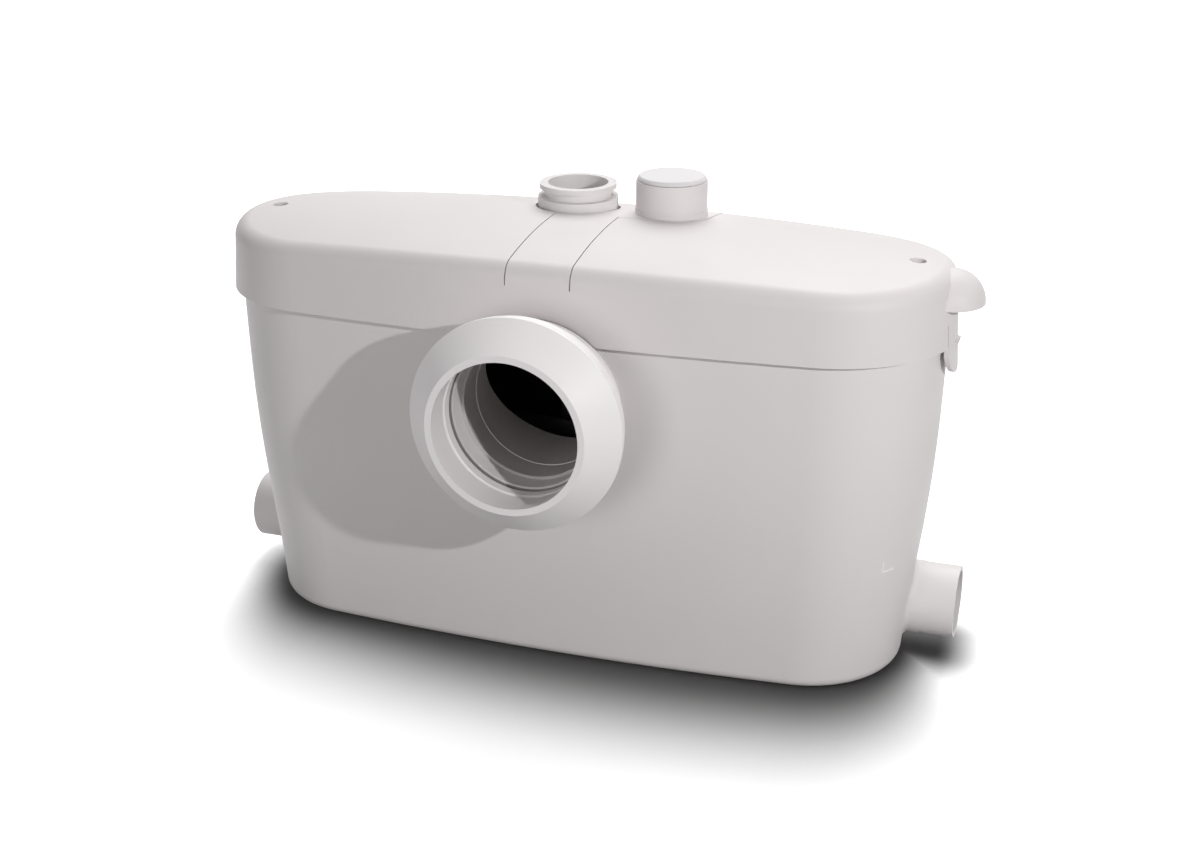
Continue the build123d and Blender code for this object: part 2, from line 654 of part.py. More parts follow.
def build_wc_sleeve():
    back = SLEEVE_NECK_BACK
    neck = PAN_TUBE_RADIUS + PRESS_GAP
    neck_outer = neck + SLEEVE_NECK_WALL
    pitch = (SLEEVE_RIM_FRONT - SLEEVE_BAND_BACK) / (SLEEVE_RIDGES + 1)
    flank_start, flank_end = SLEEVE_RIDGE_SHARES
    inner = SLEEVE_INNER_RADIUS
    lip_back = SLEEVE_FRONT - SLEEVE_LIP_LENGTH
    points = [(neck, back), (neck_outer, back), (neck_outer, SLEEVE_BAND_BACK)]
    for i in range(SLEEVE_RIDGES):
        top = SLEEVE_RIM_RADIUS - SLEEVE_RIDGE_STEP * (SLEEVE_RIDGES - i)
        place = SLEEVE_BAND_BACK + i * pitch
        low = top - SLEEVE_RIDGE_DEPTH
        points += [(top, place), (top, place + pitch * flank_start),
                   (low, place + pitch * flank_end), (low, place + pitch)]
    points += [(SLEEVE_RIM_RADIUS - SLEEVE_RIDGE_DEPTH / 2, SLEEVE_RIM_FRONT - pitch),
               (SLEEVE_RIM_RADIUS, SLEEVE_RIM_FRONT - pitch * flank_start),
               (SLEEVE_RIM_RADIUS, SLEEVE_RIM_FRONT),
               (SLEEVE_LIP_OUTER, SLEEVE_FRONT), (SLEEVE_LIP_RADIUS, SLEEVE_FRONT),
               (SLEEVE_LIP_RADIUS, lip_back), (inner, lip_back - SLEEVE_BEAD * 2), (inner, SLEEVE_BEAD_PLACE),
               (inner + SLEEVE_BEAD, SLEEVE_BEAD_PLACE - SLEEVE_BEAD),
               (inner + SLEEVE_BEAD, SLEEVE_BEAD_PLACE - SLEEVE_BEAD * 3),
               (inner, SLEEVE_BEAD_PLACE - SLEEVE_BEAD * 4), (inner, SLEEVE_SHOULDER), (neck, SLEEVE_SHOULDER)]
    body = turned(points, 0, 0)
    body -= ring(SLEEVE_GROOVE_OUTER, neck_outer, SLEEVE_BAND_BACK - OVERRUN,
                 SLEEVE_BAND_BACK + SLEEVE_GROOVE_DEPTH, 0, 0)
    return Pos(0, 0, PAN_Z) * Rot(90, 0, 0) * body


# Lid and its two covers

def strip_plan(grow):
    """Seen from above: the middle strip and the corner that holds the upper inlet's stub."""
    half = STRIP_WIDTH / 2 + grow
    back = TANK_TOP.depth + OVERRUN * 2
    edge = INLET_X + CORNER_RADIUS + grow
    front = INLET_Y - CORNER_RADIUS - grow
    low, high = 0, CROWN_Z + OVERRUN
    plan = block((-half, -back, low), (half, back, high))
    plan += block((0, front, low), (INLET_X, back, high))
    plan += block((0, INLET_Y, low), (edge, back, high))
    plan += rod("z", CORNER_RADIUS + grow, low, high, (INLET_X, INLET_Y))
    return plan


def tongue_prism(side):
    """Outline of an end tongue, run through the wall."""
    half = TONGUE_WIDTH / 2 - TONGUE_SLIT_WIDTH
    low, high = TONGUE_TIP_Z, LID_EDGE_Z + TONGUE_SLIT_HEIGHT
    start, end = sorted((0, side * (SPIGOT_REACH + OVERRUN)))
    body = block((start, -half, low + TONGUE_TIP_RADIUS), (end, half, high))
    flat = half - TONGUE_TIP_RADIUS
    body += block((start, -flat, low), (end, flat, high))
    for way in (-1, 1):
        body += rod("x", TONGUE_TIP_RADIUS, start, end, (way * flat, low + TONGUE_TIP_RADIUS))
    return body


def tongue_slits(side):
    start, end = sorted((side * INLET_X, side * (SPIGOT_REACH + OVERRUN)))
    cuts = []
    for way in (-1, 1):
        near = way * TONGUE_WIDTH / 2
        low_y, high_y = sorted((near, near - way * TONGUE_SLIT_WIDTH))
        cuts.append(block((start, low_y, LID_EDGE_Z - OVERRUN),
                          (end, high_y, LID_EDGE_Z + TONGUE_SLIT_HEIGHT)))
    return cuts[0] + cuts[1]


def hood_shell():
    """Quarter dome over the cable outlet, open below."""
    def dome(wall):
        by = (HOOD_REACH - wall, HOOD_HALF_WIDTH - wall, HOOD_HEIGHT - wall)
        return Pos(HOOD_CENTRE_X, 0, HOOD_Z) * scale(Sphere(1), by=by)
    return (dome(0) - dome(HOOD_WALL)) & slab(HOOD_Z, CROWN_Z)


def cable_way():
    start = COVER_SCREW_X + COVER_BOSS_RADIUS + FREE_GAP
    return rod("x", CABLE_WAY_RADIUS, start, GLAND_X, (GLAND_Y, SEAM_Z))


def make_skins():
    """Outer skin, inner skin, seat for the covers, and the inner side of the lid's ribs."""
    return [lid_skin(amount) for amount in (0, LID_WALL, LID_WALL + SEAT_GAP, LID_WALL * 2)]


def build_lid(skins, hood):
    outer, inner, seat, rib = skins
    lid = (outer - inner) & slab(LID_EDGE_Z, SEAM_Z)
    lid += (inner - rib) & slab(DECK_TOP + SEAT_GAP, SEAM_Z)
    lid += (seat - rib) & slab(SEAM_Z, SEAM_Z + LIP_HEIGHT)
    lid += (outer - rib) & strip_plan(-SLIT_WIDTH / 2) & slab(SEAM_Z, CROWN_Z)
    lid += (seat - rib) & strip_plan(LEDGE_WIDTH) & slab(SEAM_Z, CROWN_Z)
    for side in (-1, 1):
        lid -= tongue_slits(side)
        lid += (outer - inner) & tongue_prism(side) & slab(TONGUE_TIP_Z, LID_EDGE_Z + TONGUE_SLIT_HEIGHT)
        grip_x = lid_oval(LID_EDGE_Z, 0).length
        lid += rod("y", TONGUE_GRIP_RADIUS, -TONGUE_GRIP_LENGTH / 2, TONGUE_GRIP_LENGTH / 2,
                   (side * grip_x, LID_EDGE_Z - TONGUE_GRIP_RADIUS))
    lid += (hood - inner) & slab(HOOD_Z, SEAM_Z)
    stop = INLET_TOP_Z - INLET_PUSH
    lid += rod("z", INLET_RADIUS + INLET_SHOULDER, INLET_TAIL_Z, stop, (INLET_X, INLET_Y))
    lid += rod("z", INLET_RADIUS, stop, INLET_TOP_Z, (INLET_X, INLET_Y))
    lid -= rod("z", INLET_BORE, INLET_TAIL_Z - OVERRUN, INLET_TOP_Z + OVERRUN, (INLET_X, INLET_Y))
    lid -= rod("z", STUB_HOLE_RADIUS, SEAM_Z - LIP_HEIGHT, CROWN_Z + OVERRUN, (STUB_X, STUB_Y))
    lid -= rod("y", NOTCH_RADIUS, -lid_oval(SKIN_LOW_Z, 0).depth - OVERRUN, 0, (0, PAN_Z))
    return lid - cable_way()


def build_cover(side, skins, hood):
    """Left (-1) or right (+1) access cover, with its screw's well."""
    outer, inner = skins[:2]
    reach = SPIGOT_REACH + OVERRUN
    start, end = sorted((0, side * reach))
    half = block((start, -reach, SEAM_Z), (end, reach, CROWN_Z + OVERRUN))
    cover = (outer - inner) & half
    cover -= strip_plan(SLIT_WIDTH / 2)
    boss = rod("z", COVER_BOSS_RADIUS, cover_boss_z(), CROWN_Z, (side * COVER_SCREW_X, 0))
    cover += boss & outer
    if side > 0:
        cover += (hood - inner) & slab(SEAM_Z, CROWN_Z)
        cover -= cable_way()
    well = cover_boss_z() + COVER_WELL_FLOOR
    place = (side * COVER_SCREW_X, 0)
    cover -= rod("z", COVER_WELL_RADIUS, well, CROWN_Z + OVERRUN, place)
    cover -= rod("z", SCREW_RADIUS + FREE_GAP, SEAM_Z - OVERRUN, CROWN_Z, place)
    return cover - rod("z", STUB_HOLE_RADIUS, SEAM_Z, CROWN_Z + OVERRUN, (STUB_X, STUB_Y))


def cover_boss_z():
    """Underside of a cover's screw boss, which meets the deck's post."""
    return CROWN_Z - LID_EDGE_RADIUS - COVER_BOSS_HEIGHT + LIP_HEIGHT


def build_cover_screw(side):
    well = cover_boss_z() + COVER_WELL_FLOOR
    return screw(side * COVER_SCREW_X, 0, well, SCREW_LENGTH, SCREW_RADIUS,
                 SCREW_HEAD_RADIUS, SCREW_HEAD_HEIGHT)


def build_cord_gland(skins):
    """Rubber plug that fills the hood's open foot."""
    wall = HOOD_WALL + PRESS_GAP
    by = (HOOD_REACH - wall, HOOD_HALF_WIDTH - wall, HOOD_HEIGHT - wall)
    body = Pos(HOOD_CENTRE_X, 0, HOOD_Z) * scale(Sphere(1), by=by)
    body = body & slab(HOOD_Z, HOOD_Z + GLAND_HEIGHT)
    body -= skins[0]
    low, high = HOOD_Z - OVERRUN, HOOD_Z + GLAND_HEIGHT + OVERRUN
    return body - rod("z", GLAND_BORE, low, high, (GLAND_X, GLAND_Y))


# Upper inlet

def build_upper_inlet_cap():
    top = INLET_TOP_Z + SEAT_GAP + CAP_THICKNESS
    groove = INLET_TOP_Z - CAP_GROOVE_PLACE
    plug = INLET_TOP_Z - CAP_PLUG_HEIGHT
    ring_inner = INLET_BORE - RUN_GAP - CAP_RING_RADIUS * 2
    points = [(0, top), (CAP_RADIUS - CAP_EDGE, top), (CAP_RADIUS, top - CAP_EDGE),
              (CAP_RADIUS, INLET_TOP_Z + SEAT_GAP), (CAP_PLUG_RADIUS, INLET_TOP_Z + SEAT_GAP),
              (CAP_PLUG_RADIUS, groove + CAP_RING_RADIUS), (ring_inner, groove + CAP_RING_RADIUS),
              (ring_inner, groove - CAP_RING_RADIUS), (CAP_PLUG_RADIUS, groove - CAP_RING_RADIUS),
              (CAP_PLUG_RADIUS, plug), (ring_inner - CAP_WALL, plug),
              (ring_inner - CAP_WALL, top - CAP_THICKNESS), (0, top - CAP_THICKNESS)]
    return turned(points, INLET_X, INLET_Y)


def seal_ring(centre_radius, section, z, x, y):
    return Pos(x, y, z) * Torus(centre_radius, section)


def build_cap_seal_ring():
    middle = INLET_BORE - RUN_GAP - CAP_RING_RADIUS
    return seal_ring(middle, CAP_RING_RADIUS, INLET_TOP_Z - CAP_GROOVE_PLACE, INLET_X, INLET_Y)


def build_drop_pipe():
    bore = DROP_PIPE_RADIUS - DROP_PIPE_WALL
    foot = DECK_TOP + DROP_PIPE_FOOT_HEIGHT
    points = [(bore, DROP_PIPE_BOTTOM_Z), (DROP_PIPE_RADIUS, DROP_PIPE_BOTTOM_Z),
              (DROP_PIPE_RADIUS, DECK_TOP), (DROP_PIPE_FOOT_RADIUS, DECK_TOP),
              (DROP_PIPE_FOOT_RADIUS, foot), (DROP_PIPE_RADIUS, foot),
              (DROP_PIPE_RADIUS, INLET_TAIL_Z - SEAT_GAP), (bore, INLET_TAIL_Z - SEAT_GAP)]
    return turned(points, INLET_X, INLET_Y)


# Discharge stub, check valve and riser

def build_discharge_stub():
    flange = STUB_TOP_Z - STUB_FLANGE_HEIGHT
    collar_top = flange - STUB_NECK_HEIGHT
    collar = collar_top - STUB_COLLAR_HEIGHT
    foot = DECK_TOP + STUB_FOOT_HEIGHT
    tail = STUB_BODY_RADIUS - PRESS_GAP
    stop = STUB_TOP_Z - STUB_PUSH
    points = [(SOCKET_RADIUS, STUB_TAIL_Z), (tail, STUB_TAIL_Z), (tail, DECK_TOP),
              (STUB_FOOT_RADIUS, DECK_TOP), (STUB_FOOT_RADIUS, foot), (STUB_BODY_RADIUS, foot),
              (STUB_BODY_RADIUS, collar), (STUB_COLLAR_RADIUS, collar), (STUB_COLLAR_RADIUS, collar_top),
              (STUB_NECK_RADIUS, collar_top), (STUB_NECK_RADIUS, flange), (STUB_FLANGE_RADIUS, flange),
              (STUB_FLANGE_RADIUS, STUB_TOP_Z),
              (STUB_BORE, STUB_TOP_Z), (STUB_BORE, stop), (STUB_CHAMBER, stop), (STUB_CHAMBER, SOCKET_Z),
              (SOCKET_RADIUS, SOCKET_Z)]
    return turned(points, STUB_X, STUB_Y)


def valve_hinge(radius, half_length):
    y = STUB_Y + VALVE_HINGE_Y
    return rod("x", radius, STUB_X - half_length, STUB_X + half_length, (y, VALVE_Z + VALVE_HINGE_RISE))


def valve_pin_half():
    return VALVE_KNUCKLE_LENGTH / 2 + SEAT_GAP + VALVE_EAR_THICKNESS


def build_valve_seat():
    seat = ring(STUB_CHAMBER - PRESS_GAP, VALVE_PORT, SOCKET_Z, VALVE_Z, STUB_X, STUB_Y)
    near = VALVE_KNUCKLE_LENGTH / 2 + SEAT_GAP
    y = STUB_Y + VALVE_HINGE_Y
    for way in (-1, 1):
        low_x, high_x = sorted((STUB_X + way * near, STUB_X + way * valve_pin_half()))
        seat += block((low_x, y - VALVE_EAR_DEPTH / 2, VALVE_Z - SEAT_GAP),
                      (high_x, y + VALVE_EAR_DEPTH / 2, VALVE_Z + VALVE_EAR_HEIGHT))
    return seat - valve_hinge(VALVE_PIN_RADIUS, valve_pin_half() + OVERRUN)


def build_check_flap():
    low = VALVE_Z + SEAT_GAP
    high = low + VALVE_FLAP_THICKNESS
    flat = STUB_Y + VALVE_FLAP_FLAT
    disc = rod("z", VALVE_FLAP_RADIUS, low, high, (STUB_X, STUB_Y))
    reach = VALVE_FLAP_RADIUS + OVERRUN
    disc -= block((STUB_X - reach, flat, low - OVERRUN), (STUB_X + reach, flat + reach, high + OVERRUN))
    half = VALVE_KNUCKLE_LENGTH / 2
    hinge_y = STUB_Y + VALVE_HINGE_Y
    disc += block((STUB_X - half, flat - VALVE_FLAP_THICKNESS, low), (STUB_X + half, hinge_y, high))
    disc += valve_hinge(VALVE_KNUCKLE_RADIUS, half)
    return disc - valve_hinge(VALVE_PIN_RADIUS + RUN_GAP, half + OVERRUN)


def build_check_flap_pin():
    return valve_hinge(VALVE_PIN_RADIUS, valve_pin_half())


def riser_top_z():
    return SOCKET_Z - FREE_GAP


def build_discharge_riser():
    start = SPOUT_X - PIPE_JOINT
    path = FilletPolyline((start, STUB_Y, PIPE_Z), (STUB_X, STUB_Y, PIPE_Z), (STUB_X, STUB_Y, riser_top_z()),
                          radius=RISER_BEND)
    mouth = Plane(path @ 0, z_dir=path % 0)
    return sweep(mouth * Circle(PIPE_RADIUS), path=path) - sweep(mouth * Circle(PIPE_BORE), path=path)


def build_stub_seal_ring():
    section = (SOCKET_RADIUS - PIPE_RADIUS) / 2
    z = (STUB_TAIL_Z + riser_top_z()) / 2
    return seal_ring(PIPE_RADIUS + section, section, z, STUB_X, STUB_Y)


def build_riser_coupling():
    middle = SPOUT_X - PIPE_JOINT / 2
    start, end = middle - COUPLING_LENGTH / 2, middle + COUPLING_LENGTH / 2
    at = (STUB_Y, PIPE_Z)
    return rod("x", PIPE_RADIUS + COUPLING_WALL, start, end, at) - rod("x", PIPE_RADIUS, start, end, at)


# Pump

def pump_screw_places():
    circle = CASING_RADIUS + PUMP_SCREW_HEAD + FREE_GAP
    return around(PUMP_SCREW_COUNT, circle, MOTOR_X, 0, start=PUMP_SCREW_TURN)


def with_pump_lugs(body, low, high):
    """Adds the lugs that hold the casing and its base plate together."""
    for place in pump_screw_places():
        body += rod("z", PUMP_LUG_RADIUS, low, high, place)
    return body


def with_pump_screw_holes(body, low, high):
    for place in pump_screw_places():
        body -= rod("z", PUMP_SCREW_RADIUS + PRESS_GAP, low - OVERRUN, high + OVERRUN, place)
    return body


def build_pump_casing():
    body = rod("z", CASING_RADIUS, CHAMBER_Z, CASING_TOP_Z, (MOTOR_X, 0))
    body += rod("x", PIPE_RADIUS, SPOUT_X, MOTOR_X, (STUB_Y, PIPE_Z))
    body = with_pump_lugs(body, CHAMBER_Z, PUMP_LUG_Z)
    body -= rod("z", CASING_RADIUS + SEAT_GAP, 0, CHAMBER_Z, (MOTOR_X, 0))
    body -= rod("z", CHAMBER_RADIUS, CHAMBER_Z - OVERRUN, CASING_TOP_Z - PUMP_PLATE, (MOTOR_X, 0))
    body -= rod("x", PIPE_BORE, SPOUT_X - OVERRUN, MOTOR_X, (STUB_Y, PIPE_Z))
    body -= rod("z", CAN_SHAFT_HOLE, CHAMBER_Z, CASING_TOP_Z + OVERRUN, (MOTOR_X, 0))
    return with_pump_screw_holes(body, CHAMBER_Z, PUMP_LUG_Z)


def build_pump_base_plate():
    plate = rod("z", CASING_RADIUS, PUMP_Z, CHAMBER_Z, (MOTOR_X, 0))
    for place in around(PUMP_LEG_COUNT, PUMP_LEG_CIRCLE, MOTOR_X, 0):
        plate += rod("z", PUMP_LEG_RADIUS, TANK_FLOOR, PUMP_Z, place)
    plate = with_pump_lugs(plate, PUMP_Z, CHAMBER_Z)
    plate -= rod("z", PUMP_EYE_RADIUS, PUMP_Z - OVERRUN, CHAMBER_Z + OVERRUN, (MOTOR_X, 0))
    return with_pump_screw_holes(plate, PUMP_Z, CHAMBER_Z)


def build_pump_screws():
    length = PUMP_LUG_Z - PUMP_Z
    return [screw(x, y, PUMP_LUG_Z, length, PUMP_SCREW_RADIUS, PUMP_SCREW_HEAD, SCREW_HEAD_HEIGHT)
            for x, y in pump_screw_places()]


def build_impeller():
    shroud_z = IMPELLER_TOP_Z - IMPELLER_SHROUD
    body = rod("z", IMPELLER_RADIUS, shroud_z, IMPELLER_TOP_Z, (MOTOR_X, 0))
    body += rod("z", IMPELLER_HUB, IMPELLER_Z, IMPELLER_TOP_Z, (MOTOR_X, 0))
    for i in range(VANE_COUNT):
        vane = block((IMPELLER_HUB / 2, -VANE_THICKNESS / 2, IMPELLER_Z),
                     (IMPELLER_RADIUS - VANE_THICKNESS, VANE_THICKNESS / 2, shroud_z))
        body += Pos(MOTOR_X, 0, 0) * Rot(0, 0, 360 * i / VANE_COUNT) * vane
    return body - rod("z", SHAFT_TOP_RADIUS, IMPELLER_Z - OVERRUN, IMPELLER_TOP_Z + OVERRUN, (MOTOR_X, 0))


def build_impeller_nut():
    nut = extrude(RegularPolygon(NUT_RADIUS, 6), NUT_HEIGHT)
    nut = Pos(MOTOR_X, 0, IMPELLER_Z - NUT_HEIGHT) * nut
    return nut - rod("z", SHAFT_TOP_RADIUS, CHAMBER_Z - OVERRUN, IMPELLER_Z, (MOTOR_X, 0))


# Cutter

def build_cutter_basket():
    floor = BASKET_Z + BASKET_FLOOR
    basket = rod("z", BASKET_RADIUS, BASKET_Z, BASKET_RIM_Z, (MOTOR_X, 0))
    basket -= rod("z", BASKET_RADIUS - BASKET_WALL, floor, BASKET_RIM_Z + OVERRUN, (MOTOR_X, 0))
    basket -= rod("z", BASKET_HUB_HOLE, BASKET_Z - OVERRUN, floor, (MOTOR_X, 0))
    slot_z = floor + SLOT_FOOT
    for i in range(SLOT_COUNT):
        slot = block((BASKET_RADIUS / 2, -SLOT_WIDTH / 2, slot_z),
                     (BASKET_RADIUS + OVERRUN, SLOT_WIDTH / 2, slot_z + SLOT_HEIGHT))
        basket -= Pos(MOTOR_X, 0, 0) * Rot(0, 0, 360 * i / SLOT_COUNT) * slot
    return basket


def build_cutter_hub():
    hub = rod("z", CUTTER_HUB_RADIUS, CUTTER_Z, CUTTER_Z + CUTTER_HUB_HEIGHT, (MOTOR_X, 0))
    hub -= rod("z", SHAFT_RADIUS, CUTTER_Z - OVERRUN, CUTTER_Z + CUTTER_HUB_HEIGHT + OVERRUN, (MOTOR_X, 0))
    return hub - cutter_bar()


def cutter_bar():
    low = CUTTER_Z + BLADE_PLACE
    return block((MOTOR_X - BLADE_REACH, -BLADE_WIDTH / 2, low),
                 (MOTOR_X + BLADE_REACH, BLADE_WIDTH / 2, low + BLADE_THICKNESS))


def build_cutter_blades():
    bar = cutter_bar()
    low = CUTTER_Z + BLADE_PLACE
    for side in (-1, 1):
        inner, outer = MOTOR_X + side * (BLADE_REACH - BLADE_THICKNESS), MOTOR_X + side * BLADE_REACH
        low_x, high_x = sorted((inner, outer))
        bar += block((low_x, -BLADE_WIDTH / 2, low), (high_x, BLADE_WIDTH / 2, low + BLADE_TIP_HEIGHT))
    bar &= rod("z", BLADE_REACH, low - OVERRUN, low + BLADE_TIP_HEIGHT + OVERRUN, (MOTOR_X, 0))
    return bar - rod("z", SHAFT_RADIUS, low - OVERRUN, low + OVERRUN, (MOTOR_X, 0))


def chute_end_x():
    return MOTOR_X - BASKET_RADIUS + CHUTE_LAP


def chute_floor_z(x):
    """Top of the chute's floor, which falls evenly towards the basket."""
    share = (x - CHUTE_START_X) / (chute_end_x() - CHUTE_START_X)
    return BASKET_RIM_Z + CHUTE_RISE + CHUTE_FALL * (1 - share)


def build_inlet_chute():
    """Open trough that stands on the tank's post and laps over the basket's rim."""
    start, end = CHUTE_START_X, chute_end_x()
    rim = BASKET_RIM_Z
    width = CHUTE_BACK_Y - CHUTE_FRONT_Y
    sides = extrude(Plane.XZ * make_face(Polyline(
        (start, chute_floor_z(start) + CHUTE_SIDE), (start, chute_floor_z(start) - CHUTE_WALL),
        (end, rim), (end, chute_floor_z(end) + CHUTE_SIDE), close=True)), amount=-width)
    trough = Pos(0, CHUTE_FRONT_Y, 0) * sides
    hollow = extrude(Plane.XZ * make_face(Polyline(
        (start + CHUTE_WALL, chute_floor_z(start) + CHUTE_SIDE * 2),
        (start + CHUTE_WALL, chute_floor_z(start)), (end + OVERRUN, rim + CHUTE_WALL),
        (end + OVERRUN, rim + CHUTE_SIDE * 2), close=True)), amount=-(width - CHUTE_WALL * 2))
    trough -= Pos(0, CHUTE_FRONT_Y + CHUTE_WALL, 0) * hollow
    foot_z = chute_floor_z(CHUTE_POST_X) - CHUTE_WALL * 2
    foot = rod("z", CHUTE_POST_RADIUS, foot_z, chute_floor_z(CHUTE_POST_X) - CHUTE_WALL / 2,
               (CHUTE_POST_X, CHUTE_POST_Y))
    return trough + foot


# Motor

def flange_plate(low, high, hole):
    """Round flange with four screw lugs."""
    plate = rod("z", FLANGE_RADIUS, low, high, (MOTOR_X, 0))
    for place in lug_places():
        plate += rod("z", LUG_RADIUS, low, high, place)
    if hole:
        plate -= rod("z", hole, low - OVERRUN, high + OVERRUN, (MOTOR_X, 0))
    for place in lug_places():
        plate -= rod("z", SCREW_RADIUS + PRESS_GAP, low - OVERRUN, high + OVERRUN, place)
    return plate


def lug_places():
    return around(LUG_COUNT, LUG_CIRCLE, MOTOR_X, 0)


def build_motor_can():
    bearing_top = LOWER_BEARING_Z + LOWER_BEARING_HEIGHT
    hub = LOWER_BEARING_RADIUS + HUB_WALL
    inner = CAN_RADIUS - CAN_WALL
    points = [(CAN_SHAFT_HOLE, CAN_BOTTOM_Z), (CAN_RADIUS, CAN_BOTTOM_Z), (CAN_RADIUS, MOTOR_COVER_Z),
              (inner, MOTOR_COVER_Z), (inner, SEAL_Z), (hub, SEAL_Z), (hub, bearing_top),
              (LOWER_BEARING_RADIUS, bearing_top), (LOWER_BEARING_RADIUS, LOWER_BEARING_Z),
              (SHAFT_SEAL_RADIUS, LOWER_BEARING_Z), (SHAFT_SEAL_RADIUS, SEAL_Z), (CAN_SHAFT_HOLE, SEAL_Z)]
    can = turned(points, MOTOR_X, 0)
    return can + flange_plate(MOTOR_FLANGE_Z, MOTOR_COVER_Z, inner)


def build_motor_gasket():
    return flange_plate(DECK_TOP, MOTOR_FLANGE_Z, CAN_RADIUS + PRESS_GAP)


def build_motor_top_cover():
    top = MOTOR_COVER_Z + FLANGE_THICKNESS
    bearing_top = HUB_Z + UPPER_BEARING_HEIGHT
    cover = flange_plate(MOTOR_COVER_Z, top, 0)
    cover += rod("z", COVER_DOME_RADIUS, top, top + COVER_DOME_HEIGHT, (MOTOR_X, 0))
    cover += rod("z", UPPER_BEARING_RADIUS + HUB_WALL, HUB_Z, MOTOR_COVER_Z, (MOTOR_X, 0))
    cover -= rod("z", UPPER_BEARING_RADIUS, HUB_Z - OVERRUN, bearing_top, (MOTOR_X, 0))
    cover -= rod("z", SHAFT_RADIUS, HUB_Z, bearing_top + OVERRUN / 2, (MOTOR_X, 0))
    boss_x = MOTOR_X - LEAD_BOSS_OFFSET
    cover += rod("z", LEAD_BOSS_RADIUS, top, top + LEAD_BOSS_HEIGHT, (boss_x, 0))
    return cover


def build_motor_cover_screws():
    seat = MOTOR_COVER_Z + FLANGE_THICKNESS
    length = seat - DECK_Z
    return [screw(x, y, seat, length, SCREW_RADIUS, SCREW_HEAD_RADIUS, SCREW_HEAD_HEIGHT)
            for x, y in lug_places()]


def build_shaft_seal():
    return ring(SHAFT_SEAL_RADIUS, SHAFT_RADIUS + RUN_GAP, SEAL_Z, LOWER_BEARING_Z, MOTOR_X, 0)


def build_lower_bearing():
    return ring(LOWER_BEARING_RADIUS, SHAFT_RADIUS + RUN_GAP, LOWER_BEARING_Z,
                LOWER_BEARING_Z + LOWER_BEARING_HEIGHT, MOTOR_X, 0)


def build_upper_bearing():
    return ring(UPPER_BEARING_RADIUS, SHAFT_TOP_RADIUS + RUN_GAP, HUB_Z,
                HUB_Z + UPPER_BEARING_HEIGHT, MOTOR_X, 0)


def build_stator_core():
    return ring(CORE_RADIUS, STATOR_BORE, CORE_Z, CORE_Z + CORE_HEIGHT, MOTOR_X, 0)


def build_stator_windings():
    top = CORE_Z + CORE_HEIGHT
    inner = STATOR_BORE + CAN_WALL
    return [ring(WINDING_OUTER, inner, CORE_Z - WINDING_HEIGHT, CORE_Z, MOTOR_X, 0),
            ring(WINDING_OUTER, inner, top, top + WINDING_HEIGHT, MOTOR_X, 0)]


def build_thermal_cutout():
    low = CORE_Z + CORE_HEIGHT + WINDING_HEIGHT
    return rod("z", CUTOUT_RADIUS, low, low + CUTOUT_HEIGHT, (MOTOR_X, CUTOUT_PLACE))


def build_rotor_core():
    return ring(ROTOR_RADIUS, SHAFT_RADIUS, CORE_Z, CORE_Z + CORE_HEIGHT, MOTOR_X, 0)


def build_motor_shaft():
    tip = IMPELLER_Z - NUT_HEIGHT
    shoulder = HUB_Z - FREE_GAP
    top = HUB_Z + UPPER_BEARING_HEIGHT + FREE_GAP
    shaft = rod("z", SHAFT_TOP_RADIUS, tip, top, (MOTOR_X, 0))
    return shaft + rod("z", SHAFT_RADIUS, IMPELLER_TOP_Z, shoulder, (MOTOR_X, 0))


# Deck and what stands on it

def build_deck_gasket():
    outer, inner = [inset(TANK_TOP, amount) for amount in (GASKET_INSET, GASKET_INSET + GASKET_WIDTH)]
    gasket = extrude(oval_face(outer, TANK_RIM_Z), GASKET_THICKNESS)
    return gasket - extrude(oval_face(inner, TANK_RIM_Z), GASKET_THICKNESS)


def build_inner_deck():
    deck = extrude(oval_face(inset(TANK_TOP, DECK_INSET), DECK_Z), DECK_THICKNESS)
    for side in (-1, 1):
        deck += rod("z", DECK_POST_RADIUS, DECK_TOP, cover_boss_z() - SEAT_GAP, (side * COVER_SCREW_X, 0))
    low, high = DECK_Z - OVERRUN, CROWN_Z
    for side in (-1, 1):
        deck -= rod("z", SCREW_RADIUS + FREE_GAP, low, high, (side * COVER_SCREW_X, 0))
    for place in deck_screw_places() + lug_places():
        deck -= rod("z", SCREW_RADIUS + PRESS_GAP, low, high, place)
    deck -= rod("z", CAN_RADIUS + PRESS_GAP, low, high, (MOTOR_X, 0))
    deck -= rod("z", STUB_BODY_RADIUS, low, high, (STUB_X, STUB_Y))
    deck -= rod("z", DROP_PIPE_RADIUS + PRESS_GAP, low, high, (INLET_X, INLET_Y))
    deck -= rod("z", BELL_RADIUS + PRESS_GAP, low, high, (BELL_X, 0))
    return deck - rod("z", VENT_SPIGOT_RADIUS + PRESS_GAP, low, high, (VENT_X, 0))


def build_deck_screws():
    return [screw(x, y, DECK_TOP, SCREW_LENGTH, SCREW_RADIUS, SCREW_HEAD_RADIUS, SCREW_HEAD_HEIGHT)
            for x, y in deck_screw_places()]


def build_pressure_bell():
    bottom = TANK_FLOOR + BELL_CLEARANCE
    bore = BELL_RADIUS - BELL_WALL
    points = [(bore, bottom), (BELL_RADIUS, bottom), (BELL_RADIUS, BELL_FOOT_Z),
              (BELL_FOOT_RADIUS, BELL_FOOT_Z), (BELL_FOOT_RADIUS, DIAPHRAGM_Z), (bore, DIAPHRAGM_Z)]
    return turned(points, BELL_X, 0)


def build_diaphragm():
    disc = rod("z", DIAPHRAGM_RADIUS, DIAPHRAGM_Z, HOUSING_Z, (BELL_X, 0))
    return disc + rod("z", DIAPHRAGM_PAD_RADIUS, HOUSING_Z, HOUSING_Z + DIAPHRAGM_PAD_HEIGHT, (BELL_X, 0))


